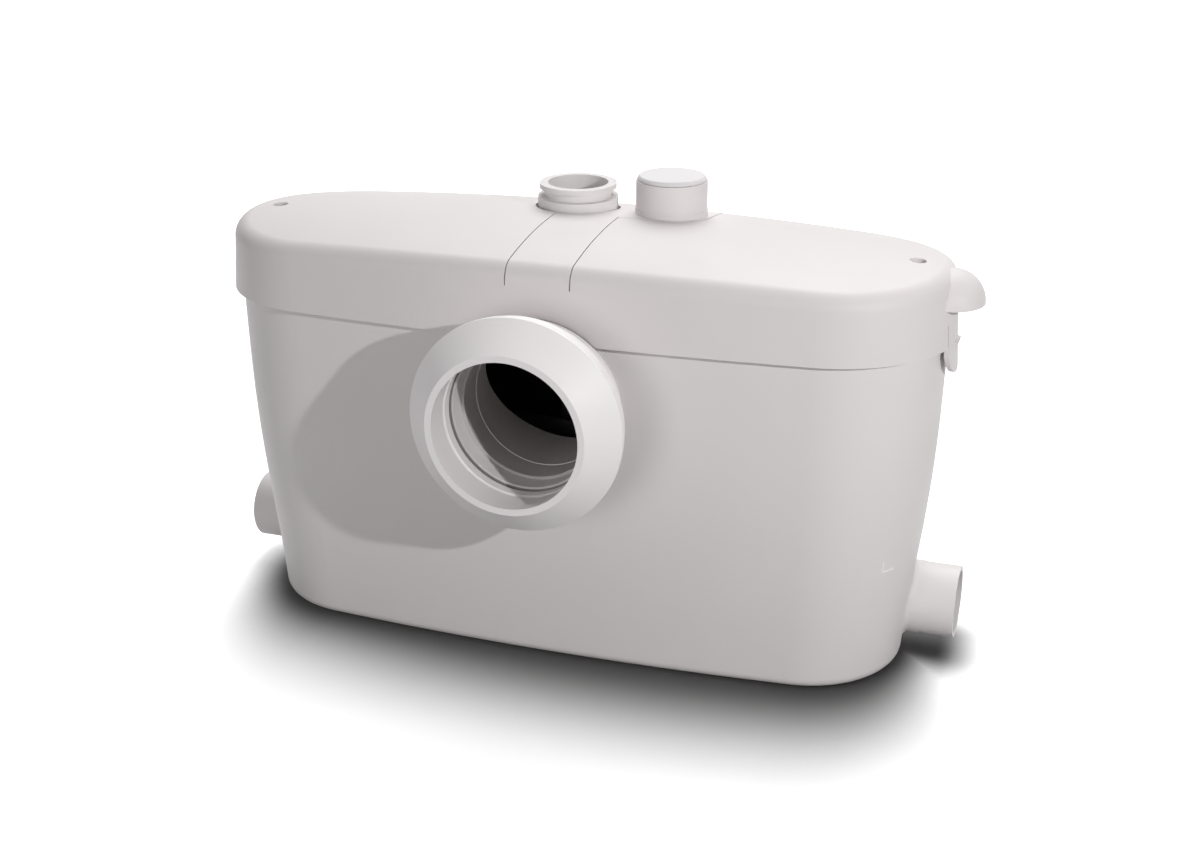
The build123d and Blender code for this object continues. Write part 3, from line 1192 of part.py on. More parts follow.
def build_switch_housing():
    points = [(BELL_FOOT_RADIUS - HOUSING_WALL, HOUSING_Z), (BELL_FOOT_RADIUS, HOUSING_Z),
              (BELL_FOOT_RADIUS, HOUSING_TOP_Z), (PLUNGER_RADIUS + RUN_GAP, HOUSING_TOP_Z),
              (PLUNGER_RADIUS + RUN_GAP, HOUSING_TOP_Z - HOUSING_WALL),
              (BELL_FOOT_RADIUS - HOUSING_WALL * 2, HOUSING_TOP_Z - HOUSING_WALL),
              (BELL_FOOT_RADIUS - HOUSING_WALL * 2, HOUSING_Z)]
    return turned(points, BELL_X, 0)


def build_switch_plunger():
    low = HOUSING_Z + DIAPHRAGM_PAD_HEIGHT + SEAT_GAP
    stem = rod("z", PLUNGER_RADIUS, low, HOUSING_TOP_Z + PLUNGER_STAND, (BELL_X, 0))
    return stem + rod("z", PLUNGER_HEAD_RADIUS, low, low + PLUNGER_HEAD_HEIGHT, (BELL_X, 0))


def build_level_switch():
    start = BELL_X + SWITCH_OFFSET
    body = block((start, -SWITCH_WIDTH / 2, HOUSING_TOP_Z),
                 (start + SWITCH_LENGTH, SWITCH_WIDTH / 2, HOUSING_TOP_Z + SWITCH_HEIGHT))
    lever_z = HOUSING_TOP_Z + PLUNGER_STAND + PLUNGER_TRAVEL + FREE_GAP
    lever = block((start - LEVER_OVERHANG, -LEVER_WIDTH / 2, lever_z),
                  (start + SWITCH_OFFSET, LEVER_WIDTH / 2, lever_z + LEVER_THICKNESS))
    return body + lever


def capacitor_z():
    return DECK_TOP + CLIP_THICKNESS + CAPACITOR_RADIUS


def build_capacitor():
    half = CAPACITOR_LENGTH / 2
    body = rod("y", CAPACITOR_RADIUS, -half, half, (CAPACITOR_X, capacitor_z()))
    return body + rod("y", CAPACITOR_RADIUS / 3, -half - CAPACITOR_STUB, -half, (CAPACITOR_X, capacitor_z()))


def build_capacitor_clip():
    half = CLIP_WIDTH / 2
    outer = CAPACITOR_RADIUS + CLIP_THICKNESS
    clip = rod("y", outer, -half, half, (CAPACITOR_X, capacitor_z()))
    clip += block((CAPACITOR_X - outer, -half, DECK_TOP),
                  (CAPACITOR_X + outer, half, DECK_TOP + CLIP_THICKNESS))
    clip -= rod("y", CAPACITOR_RADIUS, -half - OVERRUN, half + OVERRUN, (CAPACITOR_X, capacitor_z()))
    gap = CAPACITOR_RADIUS / 2
    return clip - block((CAPACITOR_X - gap, -half - OVERRUN, capacitor_z()),
                        (CAPACITOR_X + gap, half + OVERRUN, CROWN_Z))


def terminal_screw_places():
    pitch = TERMINAL_LENGTH / TERMINAL_WAYS
    first = TERMINAL_X - TERMINAL_LENGTH / 2 + pitch / 2
    return [(first + i * pitch, TERMINAL_Y) for i in range(TERMINAL_WAYS)]


def build_terminal_block():
    half_x, half_y = TERMINAL_LENGTH / 2, TERMINAL_WIDTH / 2
    top = DECK_TOP + TERMINAL_HEIGHT
    body = block((TERMINAL_X - half_x, TERMINAL_Y - half_y, DECK_TOP),
                 (TERMINAL_X + half_x, TERMINAL_Y + half_y, top))
    for place in terminal_screw_places():
        body -= rod("z", TERMINAL_SCREW_RADIUS + PRESS_GAP, top - TERMINAL_SCREW_HEIGHT, top + OVERRUN, place)
    return body


def build_terminal_screws():
    top = DECK_TOP + TERMINAL_HEIGHT
    return [rod("z", TERMINAL_SCREW_RADIUS, top - TERMINAL_SCREW_HEIGHT, top - SEAT_GAP * 2, place)
            for place in terminal_screw_places()]


def lead(points, radius, bend):
    """Insulated lead along straight runs joined by tangent arcs."""
    path = FilletPolyline(*points, radius=bend)
    return sweep(Plane(path @ 0, z_dir=path % 0) * Circle(radius), path=path)


def build_motor_lead():
    """From the motor's gland along the deck to the terminal block."""
    x = MOTOR_X - LEAD_BOSS_OFFSET - LEAD_BOSS_RADIUS
    high = MOTOR_COVER_Z + FLANGE_THICKNESS + COVER_DOME_HEIGHT + LEAD_RADIUS + FREE_GAP
    low = DECK_TOP + TERMINAL_HEIGHT / 2
    return lead([(x, 0, high), (x - LEAD_BEND * 4, 0, high), (x - LEAD_BEND * 7, TERMINAL_Y, low),
                 (TERMINAL_X + TERMINAL_LENGTH / 2, TERMINAL_Y, low)], LEAD_RADIUS, LEAD_BEND)


def build_capacitor_lead():
    """From the capacitor round the front of the motor's flange to the terminal block."""
    end = -CAPACITOR_LENGTH / 2 - CAPACITOR_STUB
    y = TERMINAL_Y - TERMINAL_WIDTH / 3
    front = -LUG_CIRCLE - LUG_RADIUS - THIN_LEAD_RADIUS * 2
    low = DECK_TOP + THIN_LEAD_RADIUS * 2
    return lead([(CAPACITOR_X, end, capacitor_z()), (CAPACITOR_X, end - LEAD_BEND, capacitor_z()),
                 (MOTOR_X + LUG_CIRCLE / 2, front, low), (MOTOR_X - LUG_CIRCLE / 2, front, low),
                 (TERMINAL_X + TERMINAL_LENGTH, y, low), (TERMINAL_X + TERMINAL_LENGTH / 2, y, low)],
                THIN_LEAD_RADIUS, THIN_LEAD_RADIUS * 3)


def build_switch_lead():
    """From the level switch to the terminal block's back."""
    start = BELL_X + SWITCH_OFFSET + SWITCH_LENGTH
    z = HOUSING_TOP_Z + SWITCH_HEIGHT / 3
    low = DECK_TOP + TERMINAL_HEIGHT / 2
    return lead([(start, 0, z), (start + LEAD_BEND * 2, 0, z), (TERMINAL_X, -LEAD_BEND, low),
                 (TERMINAL_X, TERMINAL_Y + TERMINAL_WIDTH / 2, low)], THIN_LEAD_RADIUS, THIN_LEAD_RADIUS * 4)


def build_vent_filter():
    top = DECK_TOP + VENT_HEIGHT
    body = rod("z", VENT_RADIUS, DECK_TOP, top, (VENT_X, 0))
    body += rod("z", VENT_SPIGOT_RADIUS, DECK_Z, DECK_TOP, (VENT_X, 0))
    for place in around(VENT_WAYS, VENT_RADIUS / 2, VENT_X, 0):
        body -= rod("z", VENT_WAY_RADIUS, DECK_Z - OVERRUN, top + OVERRUN, place)
    return body


# Side inlet flaps

def build_inlet_flap(side):
    """Hanging flap of a side inlet; it opens inwards."""
    outer_x = SPIGOT_SEAT_X - SEAT_GAP
    inner_x = outer_x - FLAP_THICKNESS
    flap = rod("x", FLAP_RADIUS, side * inner_x, side * outer_x, (SPIGOT_Y, SPIGOT_Z))
    half = FLAP_KNUCKLE_LENGTH / 2
    low_x, high_x = sorted((side * inner_x, side * outer_x))
    flap += block((low_x, SPIGOT_Y - half, SPIGOT_Z), (high_x, SPIGOT_Y + half, FLAP_HINGE_Z))
    at = (side * FLAP_HINGE_X, FLAP_HINGE_Z)
    flap += rod("y", FLAP_THICKNESS / 2 + FLAP_PIN_RADIUS, SPIGOT_Y - half, SPIGOT_Y + half, at)
    return flap - rod("y", FLAP_PIN_RADIUS + RUN_GAP, SPIGOT_Y - half - OVERRUN, SPIGOT_Y + half + OVERRUN, at)


def build_inlet_flap_pins():
    return [flap_pin_hole(side, FLAP_PIN_RADIUS, 0) for side in (-1, 1)]


def build_all():
    skins = make_skins()
    hood = hood_shell()
    return {
        "tank": build_tank(),
        "base_pads": build_base_pads(),
        "wc_sleeve": build_wc_sleeve(),
        "lid": build_lid(skins, hood),
        "left_access_cover": build_cover(-1, skins, hood),
        "right_access_cover": build_cover(1, skins, hood),
        "left_cover_screw": build_cover_screw(-1),
        "right_cover_screw": build_cover_screw(1),
        "cord_gland": build_cord_gland(skins),
        "upper_inlet_cap": build_upper_inlet_cap(),
        "cap_seal_ring": build_cap_seal_ring(),
        "inlet_drop_pipe": build_drop_pipe(),
        "discharge_stub": build_discharge_stub(),
        "check_valve_seat": build_valve_seat(),
        "check_flap": build_check_flap(),
        "check_flap_pin": build_check_flap_pin(),
        "discharge_riser": build_discharge_riser(),
        "stub_seal_ring": build_stub_seal_ring(),
        "riser_coupling": build_riser_coupling(),
        "pump_casing": build_pump_casing(),
        "pump_base_plate": build_pump_base_plate(),
        "pump_screws": build_pump_screws(),
        "impeller": build_impeller(),
        "impeller_nut": build_impeller_nut(),
        "cutter_basket": build_cutter_basket(),
        "cutter_hub": build_cutter_hub(),
        "cutter_blades": build_cutter_blades(),
        "inlet_chute": build_inlet_chute(),
        "motor_can": build_motor_can(),
        "motor_gasket": build_motor_gasket(),
        "motor_top_cover": build_motor_top_cover(),
        "motor_cover_screws": build_motor_cover_screws(),
        "shaft_seal": build_shaft_seal(),
        "lower_bearing": build_lower_bearing(),
        "upper_bearing": build_upper_bearing(),
        "stator_core": build_stator_core(),
        "stator_windings": build_stator_windings(),
        "thermal_cutout": build_thermal_cutout(),
        "rotor_core": build_rotor_core(),
        "motor_shaft": build_motor_shaft(),
        "deck_gasket": build_deck_gasket(),
        "inner_deck": build_inner_deck(),
        "deck_screws": build_deck_screws(),
        "pressure_bell": build_pressure_bell(),
        "diaphragm": build_diaphragm(),
        "switch_housing": build_switch_housing(),
        "switch_plunger": build_switch_plunger(),
        "level_switch": build_level_switch(),
        "capacitor": build_capacitor(),
        "capacitor_clip": build_capacitor_clip(),
        "terminal_block": build_terminal_block(),
        "terminal_screws": build_terminal_screws(),
        "motor_lead": build_motor_lead(),
        "capacitor_lead": build_capacitor_lead(),
        "switch_lead": build_switch_lead(),
        "vent_filter": build_vent_filter(),
        "left_inlet_flap": build_inlet_flap(-1),
        "right_inlet_flap": build_inlet_flap(1),
        "inlet_flap_pins": build_inlet_flap_pins(),
    }


def main():
    os.makedirs("parts", exist_ok=True)
    for name, shape in build_all().items():
        solids = shape if isinstance(shape, list) else [shape]
        pieces = [solid for item in solids for solid in item.solids()]
        whole = pieces[0] if len(pieces) == 1 else Compound(children=pieces)
        export_step(whole, f"parts/{name}.step")


main()
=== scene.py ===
"""Finishes, moulded trim and studio of a macerator toilet pump.

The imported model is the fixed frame. Each sub-assembly is a class that dresses its own
nodes and adds the small moulded trim that it carries. All lengths are in metres.
"""
import logging
from dataclasses import dataclass
from enum import Enum
from math import cos, pi, radians, sin

import bmesh
import bpy
from mathutils import Matrix, Vector


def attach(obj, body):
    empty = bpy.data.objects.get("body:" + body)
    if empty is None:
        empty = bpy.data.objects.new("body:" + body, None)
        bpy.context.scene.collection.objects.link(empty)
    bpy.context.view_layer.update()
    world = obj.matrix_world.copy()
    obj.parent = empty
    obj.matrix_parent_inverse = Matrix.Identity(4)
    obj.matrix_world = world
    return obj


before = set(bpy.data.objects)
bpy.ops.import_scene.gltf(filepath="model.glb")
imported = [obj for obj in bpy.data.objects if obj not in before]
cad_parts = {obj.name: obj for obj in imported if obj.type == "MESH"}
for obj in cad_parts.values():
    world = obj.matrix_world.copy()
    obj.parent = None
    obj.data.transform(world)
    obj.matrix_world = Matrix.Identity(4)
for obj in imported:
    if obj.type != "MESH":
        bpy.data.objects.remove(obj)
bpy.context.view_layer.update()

LOG = logging.getLogger("macerator_pump")
HOUSING = "housing"
Colour = tuple[float, float, float]
Place = tuple[float, float, float]
WHITE: Colour = (1.0, 1.0, 1.0)
ORIGIN: Place = (0.0, 0.0, 0.0)

# Closest that two points of a new piece may lie, and half the side of the cube that a rib starts as.
WELD = 1e-6
CUBE_HALF = 0.5
# How much finer a finish's gloss wanders than its colour, and how far it wanders from the named gloss.
SHEEN_FINENESS = 3.0
GLOSS_SPREAD = (0.92, 1.1)
# Numbers of a Mix node's sockets while it mixes colours.
MIX_FIRST, MIX_SECOND, MIX_RESULT = 6, 7, 2


class Gloss(Enum):
    """How shiny a surface is, as a shader roughness."""

    DULL = 0.66
    SOFT = 0.5
    SATIN = 0.36
    BRIGHT = 0.24


class Socket(Enum):
    """Kinds of socket that a node group can have."""

    NUMBER = "NodeSocketFloat"
    POINT = "NodeSocketVector"
    COLOUR = "NodeSocketColor"


class Effect(Enum):
    """Surface effects that several finishes share."""

    GRAIN = "moulded_grain"
    DRIFT = "tone_drift"
    SHEEN = "sheen_drift"
    BANDS = "machined_bands"
    WRAP = "wire_wrap"
    ROUND_BAND = "round_band"
    TANK_DEPTH = "tank_depth"


@dataclass
class NodeBoard:
    """One node tree and the short calls that fill it."""

    tree: bpy.types.NodeTree

    def place(self, kind: str, inputs: dict | None = None, **settings: object) -> bpy.types.Node:
        """Add a node.

        Args:
            kind: The node's Blender type.
            inputs: Values or sockets for its inputs, by name or number.
            settings: Its other properties.

        Returns:
            The new node.
        """
        node = self.tree.nodes.new(kind)
        for name, value in settings.items():
            setattr(node, name, value)
        for key, value in (inputs or {}).items():
            self.feed(node.inputs[key], value)
        return node

    def feed(self, socket: bpy.types.NodeSocket, value: object) -> None:
        """Link a socket, or set its value.

        Args:
            socket: The input that is fed.
            value: Another node's output, or a plain value.
        """
        if isinstance(value, bpy.types.NodeSocket):
            self.tree.links.new(value, socket)
        else:
            socket.default_value = value

    def sum_up(self, operation: str, *values: object) -> bpy.types.NodeSocket:
        """Place a Math node.

        Args:
            operation: The sum that it works out.
            values: Its inputs, in order.

        Returns:
            Its output.
        """
        node = self.place("ShaderNodeMath", dict(enumerate(values)), operation=operation)
        return node.outputs[0]

    def vector(self, operation: str, *values: object) -> bpy.types.NodeSocket:
        """Place a Vector Math node.

        Args:
            operation: The sum that it works out.
            values: Its inputs, in order.

        Returns:
            Its number where it measures a length, or else its vector.
        """
        node = self.place("ShaderNodeVectorMath", dict(enumerate(values)), operation=operation)
        return node.outputs["Value" if operation == "LENGTH" else "Vector"]

    def spread(self, value: bpy.types.NodeSocket, low: object, high: object, start: float = 0.0,
               end: float = 1.0, **settings: object) -> bpy.types.NodeSocket:
        """Place a Map Range node.

        Args:
            value: The number that it maps.
            low: What it gives at the start of the value's range.
            high: What it gives at the end of that range.
            start: Start of the value's range.
            end: End of the value's range.
            settings: The node's other properties.

        Returns:
            Its output.
        """
        inputs = {"Value": value, "From Min": start, "From Max": end, "To Min": low, "To Max": high}
        return self.place("ShaderNodeMapRange", inputs, **settings).outputs[0]

    def split(self, place: bpy.types.NodeSocket) -> list[bpy.types.NodeSocket]:
        """Give the X, Y and Z of a point."""
        return list(self.place("ShaderNodeSeparateXYZ", {"Vector": place}).outputs)

    def distance(self, *legs: bpy.types.NodeSocket) -> bpy.types.NodeSocket:
        """Give the length that two legs at right angles span."""
        squares = [self.sum_up("POWER", leg, 2.0) for leg in legs]
        return self.sum_up("SQRT", self.sum_up("ADD", *squares))

    def all_of(self, first: bpy.types.NodeSocket, *others: bpy.types.NodeSocket) -> bpy.types.NodeSocket:
        """Combine masks into one that is 1 only where each of them is.

        Args:
            first: One mask.
            others: The rest.

        Returns:
            The combined mask.
        """
        for mask in others:
            first = self.sum_up("MULTIPLY", first, mask)
        return first

    def mixed(self, share: bpy.types.NodeSocket, plain: object, marked: object) -> bpy.types.NodeSocket:
        """Mix two colours.

        Args:
            share: How much of the second colour shows, from 0 to 1.
            plain: The first colour.
            marked: The second colour.

        Returns:
            The mixed colour.
        """
        mix = self.place("ShaderNodeMix", {"Factor": share}, data_type="RGBA")
        self.feed(mix.inputs[MIX_FIRST], plain)
        self.feed(mix.inputs[MIX_SECOND], marked)
        return mix.outputs[MIX_RESULT]


def cleared_board(owner: bpy.types.ID) -> NodeBoard:
    """Empty the node tree of a material or a world.

    Args:
        owner: The material or the world.

    Returns:
        Its board, with no nodes on it.
    """
    owner.use_nodes = True
    owner.node_tree.nodes.clear()
    return NodeBoard(owner.node_tree)


@dataclass(frozen=True)
class Cloud:
    """Settings of the noise that an effect starts from."""

    detail: float
    roughness: float

    def place(self, board: NodeBoard, given: bpy.types.bpy_prop_collection) -> bpy.types.NodeSocket:
        """Place the noise.

        Args:
            board: The effect's nodes.
            given: The effect's inputs, a Place and a Scale among them.

        Returns:
            The noise, as a number.
        """
        inputs = {"Vector": given["Place"], "Scale": given["Scale"], "Detail": self.detail,
                  "Roughness": self.roughness}
        return board.place("ShaderNodeTexNoise", inputs).outputs[0]


class TankForm:
    """The tank's flared oval: half sizes at the base and how far each grows to the rim."""

    HEIGHT = 0.205
    FLOOR = 0.0025
    DEPTH = 0.0622
    DEPTH_GROWTH = 0.0078
    END = 0.0564
    END_GROWTH = 0.0074
    PLACE = 0.1342
    PLACE_GROWTH = 0.0069
    SIDE_RADIUS = 1.64
    FLARE_BOW = 0.7


class EffectLibrary:
    """Builds each shared effect once, as a node group with named sockets."""

    GRAIN_CLOUD = Cloud(detail=3.0, roughness=0.55)
    CELL_FINENESS = 1.7
    CELL_SHARE = 0.4
    DRIFT_CLOUD = Cloud(detail=4.0, roughness=0.5)
    DRIFT_EDGES = (0.35, 0.65)
    SHEEN_CLOUD = Cloud(detail=5.0, roughness=0.6)
    SHEEN_EDGES = (0.3, 0.7)
    BAND_WOBBLE = 0.4
    BAND_DETAIL = 2.0

    def __init__(self) -> None:
        """Start with no groups."""
        self._groups: dict[Effect, bpy.types.NodeTree] = {}
        self._makers = {
            Effect.GRAIN: self._grain,
            Effect.DRIFT: self._drift,
            Effect.SHEEN: self._sheen,
            Effect.BANDS: self._bands,
            Effect.WRAP: self._wrap,
            Effect.ROUND_BAND: self._round_band,
            Effect.TANK_DEPTH: self._tank_depth,
        }

    def group(self, effect: Effect) -> bpy.types.NodeTree:
        """Give an effect's group, built at its first use.

        Args:
            effect: The effect that is wanted.

        Returns:
            Its node group.
        """
        if effect not in self._groups:
            tree = bpy.data.node_groups.new(effect.value, "ShaderNodeTree")
            self._makers[effect](tree)
            self._groups[effect] = tree
        return self._groups[effect]

    def place(self, board: NodeBoard, effect: Effect, **inputs: object) -> bpy.types.NodeSocket:
        """Use an effect in a material.

        Args:
            board: The material's nodes.
            effect: The effect that is wanted.
            inputs: Its inputs, by socket name.

        Returns:
            The effect's first output.
        """
        node = board.place("ShaderNodeGroup", node_tree=self.group(effect))
        for name, value in inputs.items():
            board.feed(node.inputs[name], value)
        return node.outputs[0]

    @staticmethod
    def _sockets(tree: bpy.types.NodeTree, output: str, kind: Socket, **inputs: Socket) -> tuple[
            NodeBoard, bpy.types.bpy_prop_collection, bpy.types.NodeSocket]:
        """Give a group its sockets.

        Args:
            tree: The group.
            output: Name of its output.
            kind: Kind of its output.
            inputs: Kind of each input, by name.

        Returns:
            The group's board, its inputs by name, and the socket that its output is fed through.
        """
        for name, sort in inputs.items():
            tree.interface.new_socket(name=name, in_out="INPUT", socket_type=sort.value)
        tree.interface.new_socket(name=output, in_out="OUTPUT", socket_type=kind.value)
        board = NodeBoard(tree)
        return board, board.place("NodeGroupInput").outputs, board.place("NodeGroupOutput").inputs[output]

    def _grain(self, tree: bpy.types.NodeTree) -> None:
        """Fine pebble left by a spark-finished mould, as a height.

        Args:
            tree: The group that it fills.
        """
        board, given, height = self._sockets(tree, "Height", Socket.NUMBER, Place=Socket.POINT,
                                             Scale=Socket.NUMBER)
        cloud = self.GRAIN_CLOUD.place(board, given)
        finer = board.sum_up("MULTIPLY", given["Scale"], self.CELL_FINENESS)
        cells = board.place("ShaderNodeTexVoronoi", {"Vector": given["Place"], "Scale": finer})
        board.feed(height, board.sum_up("MULTIPLY_ADD", cells.outputs["Distance"], self.CELL_SHARE, cloud))

    def _drift(self, tree: bpy.types.NodeTree) -> None:
        """Slow drift of a colour towards a second one, as plastic and metal show.

        Args:
            tree: The group that it fills.
        """
        board, given, colour = self._sockets(tree, "Colour", Socket.COLOUR, Place=Socket.POINT,
                                             Scale=Socket.NUMBER, Base=Socket.COLOUR, Second=Socket.COLOUR)
        share = board.spread(self.DRIFT_CLOUD.place(board, given), 0.0, 1.0, *self.DRIFT_EDGES)
        board.feed(colour, board.mixed(share, given["Base"], given["Second"]))

    def _sheen(self, tree: bpy.types.NodeTree) -> None:
        """Roughness that wanders between two values, as handling and flow leave it.

        Args:
            tree: The group that it fills.
        """
        board, given, roughness = self._sockets(tree, "Roughness", Socket.NUMBER, Place=Socket.POINT,
                                                Scale=Socket.NUMBER, Low=Socket.NUMBER, High=Socket.NUMBER)
        cloud = self.SHEEN_CLOUD.place(board, given)
        board.feed(roughness, board.spread(cloud, given["Low"], given["High"], *self.SHEEN_EDGES))

    def _bands(self, tree: bpy.types.NodeTree) -> None:
        """Even fine bands along Z, slightly uneven, as a lathe or stacked sheets leave.

        Args:
            tree: The group that it fills.
        """
        board, given, height = self._sockets(tree, "Height", Socket.NUMBER, Place=Socket.POINT,
                                             Scale=Socket.NUMBER)
        inputs = {"Vector": given["Place"], "Scale": given["Scale"], "Distortion": self.BAND_WOBBLE,
                  "Detail": self.BAND_DETAIL}
        wave = board.place("ShaderNodeTexWave", inputs, bands_direction="Z")
        board.feed(height, wave.outputs["Fac"])

    def _wrap(self, tree: bpy.types.NodeTree) -> None:
        """Turns of wire round an upright axis, as a height.

        Args:
            tree: The group that it fills.
        """
        board, given, height = self._sockets(tree, "Height", Socket.NUMBER, Place=Socket.POINT,
                                             Turns=Socket.NUMBER)
        across, forward, _ = board.split(given["Place"])
        angle = board.sum_up("ARCTAN2", forward, across)
        wave = board.sum_up("SINE", board.sum_up("MULTIPLY", angle, given["Turns"]))
        board.feed(height, board.sum_up("ABSOLUTE", wave))

    def _round_band(self, tree: bpy.types.NodeTree) -> None:
        """Mask of a ring about the Y axis, between two radii.

        Args:
            tree: The group that it fills.
        """
        board, given, mask = self._sockets(tree, "Mask", Socket.NUMBER, Place=Socket.POINT,
                                           Inner=Socket.NUMBER, Outer=Socket.NUMBER)
        across, _, upward = board.split(given["Place"])
        radius = board.distance(across, upward)
        inside = board.sum_up("LESS_THAN", radius, given["Outer"])
        beyond = board.sum_up("GREATER_THAN", radius, given["Inner"])
        board.feed(mask, board.all_of(inside, beyond))

    def _tank_depth(self, tree: bpy.types.NodeTree) -> None:
        """Distance from the tank's flared oval, above zero inside it.

        Args:
            tree: The group that it fills.
        """
        board, given, depth = self._sockets(tree, "Depth", Socket.NUMBER, Place=Socket.POINT)
        sideways, lengthways, height = board.split(given["Place"])
        rise = board.sum_up("DIVIDE", height, TankForm.HEIGHT)
        bow = board.sum_up("MULTIPLY_ADD", rise, -TankForm.FLARE_BOW, 1.0 + TankForm.FLARE_BOW)
        grown = board.sum_up("MULTIPLY", rise, bow)
        half_depth = board.sum_up("MULTIPLY_ADD", grown, TankForm.DEPTH_GROWTH, TankForm.DEPTH)
        end_radius = board.sum_up("MULTIPLY_ADD", grown, TankForm.END_GROWTH, TankForm.END)
        end_place = board.sum_up("MULTIPLY_ADD", grown, TankForm.PLACE_GROWTH, TankForm.PLACE)
        across = board.sum_up("ABSOLUTE", sideways)
        forward = board.sum_up("ABSOLUTE", lengthways)
        fall = board.sum_up("DIVIDE", board.sum_up("POWER", across, 2.0), 2.0 * TankForm.SIDE_RADIUS)
        to_side = board.sum_up("SUBTRACT", board.sum_up("SUBTRACT", half_depth, fall), forward)
        beyond = board.sum_up("SUBTRACT", across, end_place)
        to_end = board.sum_up("SUBTRACT", end_radius, board.distance(beyond, forward))
        at_end = board.sum_up("GREATER_THAN", beyond, 0.0)
        nearest = board.place("ShaderNodeMix", {"Factor": at_end, "A": to_side, "B": to_end})
        board.feed(depth, nearest.outputs[0])


EFFECTS = EffectLibrary()


def full(colour: Colour) -> tuple[float, float, float, float]:
    """Add a solid alpha to a colour.

    Args:
        colour: Red, green and blue.

    Returns:
        The colour with an alpha of 1.
    """
    return (*colour, 1.0)


@dataclass(frozen=True)
class Finish:
    """What every finish shares: a name, two near tones and a gloss."""

    name: str
    colour: Colour
    second: Colour
    gloss: Gloss
    metallic: float = 0.0
    grain_scale: float = 1400.0
    grain_depth: float = 0.000006
    drift_scale: float = 9.0
    centre: Place = ORIGIN

    def build(self) -> bpy.types.Material:
        """Make the material.

        Returns:
            The material, with its nodes in place.
        """
        material = bpy.data.materials.new(self.name)
        board = cleared_board(material)
        coordinates = board.place("ShaderNodeTexCoord")
        place = board.place("ShaderNodeMapping", {"Vector": coordinates.outputs["Object"],
                                                  "Location": [-value for value in self.centre]}).outputs[0]
        shader = board.place("ShaderNodeBsdfPrincipled", {"Metallic": self.metallic})
        board.feed(shader.inputs["Base Color"], self.tone(board, place))
        low, high = (self.gloss.value * share for share in GLOSS_SPREAD)
        board.feed(shader.inputs["Roughness"], EFFECTS.place(
            board, Effect.SHEEN, Place=place, Scale=self.drift_scale * SHEEN_FINENESS, Low=low, High=high))
        bump = board.place("ShaderNodeBump", {"Strength": 1.0, "Distance": self.grain_depth,
                                              "Height": self.relief(board, place)})
        board.feed(shader.inputs["Normal"], bump.outputs[0])
        self.polish(shader)
        board.place("ShaderNodeOutputMaterial", {"Surface": shader.outputs[0]})
        return material

    def tone(self, board: NodeBoard, place: bpy.types.NodeSocket) -> bpy.types.NodeSocket:
        """Work out the surface's colour.

        Args:
            board: The material's nodes.
            place: The point on the piece.

        Returns:
            The colour's socket.
        """
        return EFFECTS.place(board, Effect.DRIFT, Place=place, Scale=self.drift_scale,
                             Base=full(self.colour), Second=full(self.second))

    def relief(self, board: NodeBoard, place: bpy.types.NodeSocket) -> bpy.types.NodeSocket:
        """Work out the surface's fine height.

        Args:
            board: The material's nodes.
            place: The point on the piece.

        Returns:
            The height's socket.
        """
        return EFFECTS.place(board, Effect.GRAIN, Place=place, Scale=self.grain_scale)

    def polish(self, shader: bpy.types.Node) -> None:
        """Set what is the same all over; a plain finish has nothing to set.

        Args:
            shader: The material's shader; not used by a plain finish.
        """


@dataclass(frozen=True)
class MouldedPlastic(Finish):
    """Satin moulded plastic, whose fine grain mutes its shine."""

    refraction: float = 1.5
    shine: float = 0.3

    def polish(self, shader: bpy.types.Node) -> None:
        """Set a plastic's refraction and its muted shine.

        Args:
            shader: The material's shader.
        """
        shader.inputs["IOR"].default_value = self.refraction
        shader.inputs["Specular IOR Level"].default_value = self.shine


@dataclass(frozen=True)
class InsideShadedPlastic(MouldedPlastic):
    """Tank plastic with painted shade inside the tank and its pan inlet's bore, and a dark joint line."""

    # Painted shade in the pan inlet's bore: grey, out to the given radius and forward to the given depth.
    inlet_painted_shade: Colour = (0.62, 0.59, 0.58)
    inlet_shade_radius: float = 0.0412
    inlet_shade_front: float = -0.0839
    # Painted shade inside the tank's walls: near black.
    inside: Colour = (0.04, 0.036, 0.033)
    joint: Colour = (0.34, 0.32, 0.31)
    joint_radius: float = 0.0411
    joint_front: float = -0.0935
    tube_radius: float = 0.046
    skin_depth: float = 0.00175
    axis_height: float = 0.1582

    def tone(self, board: NodeBoard, place: bpy.types.NodeSocket) -> bpy.types.NodeSocket:
        """Paint shade inside the tank and in the pan inlet's bore, and paint the dark joint line.

        Args:
            board: The material's nodes.
            place: The point on the piece.

        Returns:
            The colour's socket.
        """
        tone = super().tone(board, place)
        _, depth, height = board.split(place)
        on_axis = board.vector("SUBTRACT", place, (0.0, 0.0, self.axis_height))
        bore = EFFECTS.place(board, Effect.ROUND_BAND, Place=on_axis, Inner=0.0, Outer=self.inlet_shade_radius)
        inlet = board.all_of(bore, board.sum_up("GREATER_THAN", depth, self.inlet_shade_front),
                             board.sum_up("LESS_THAN", depth, 0.0))
        within = EFFECTS.place(board, Effect.TANK_DEPTH, Place=place)
        inside_shade_mask = board.all_of(board.sum_up("GREATER_THAN", within, self.skin_depth),
                              board.sum_up("GREATER_THAN", height, TankForm.FLOOR),
                              board.sum_up("LESS_THAN", height, TankForm.HEIGHT - TankForm.FLOOR))
        edge = EFFECTS.place(board, Effect.ROUND_BAND, Place=on_axis, Inner=self.joint_radius,
                             Outer=self.tube_radius)
        at_joint = board.all_of(edge, board.sum_up("LESS_THAN", depth, self.joint_front))
        # Paint the shade inside the tank and in the inlet's bore, then the dark joint line.
        for mask, colour in ((inside_shade_mask, self.inside), (inlet, self.inlet_painted_shade), (at_joint, self.joint)):
            tone = board.mixed(mask, tone, full(colour))
        return tone


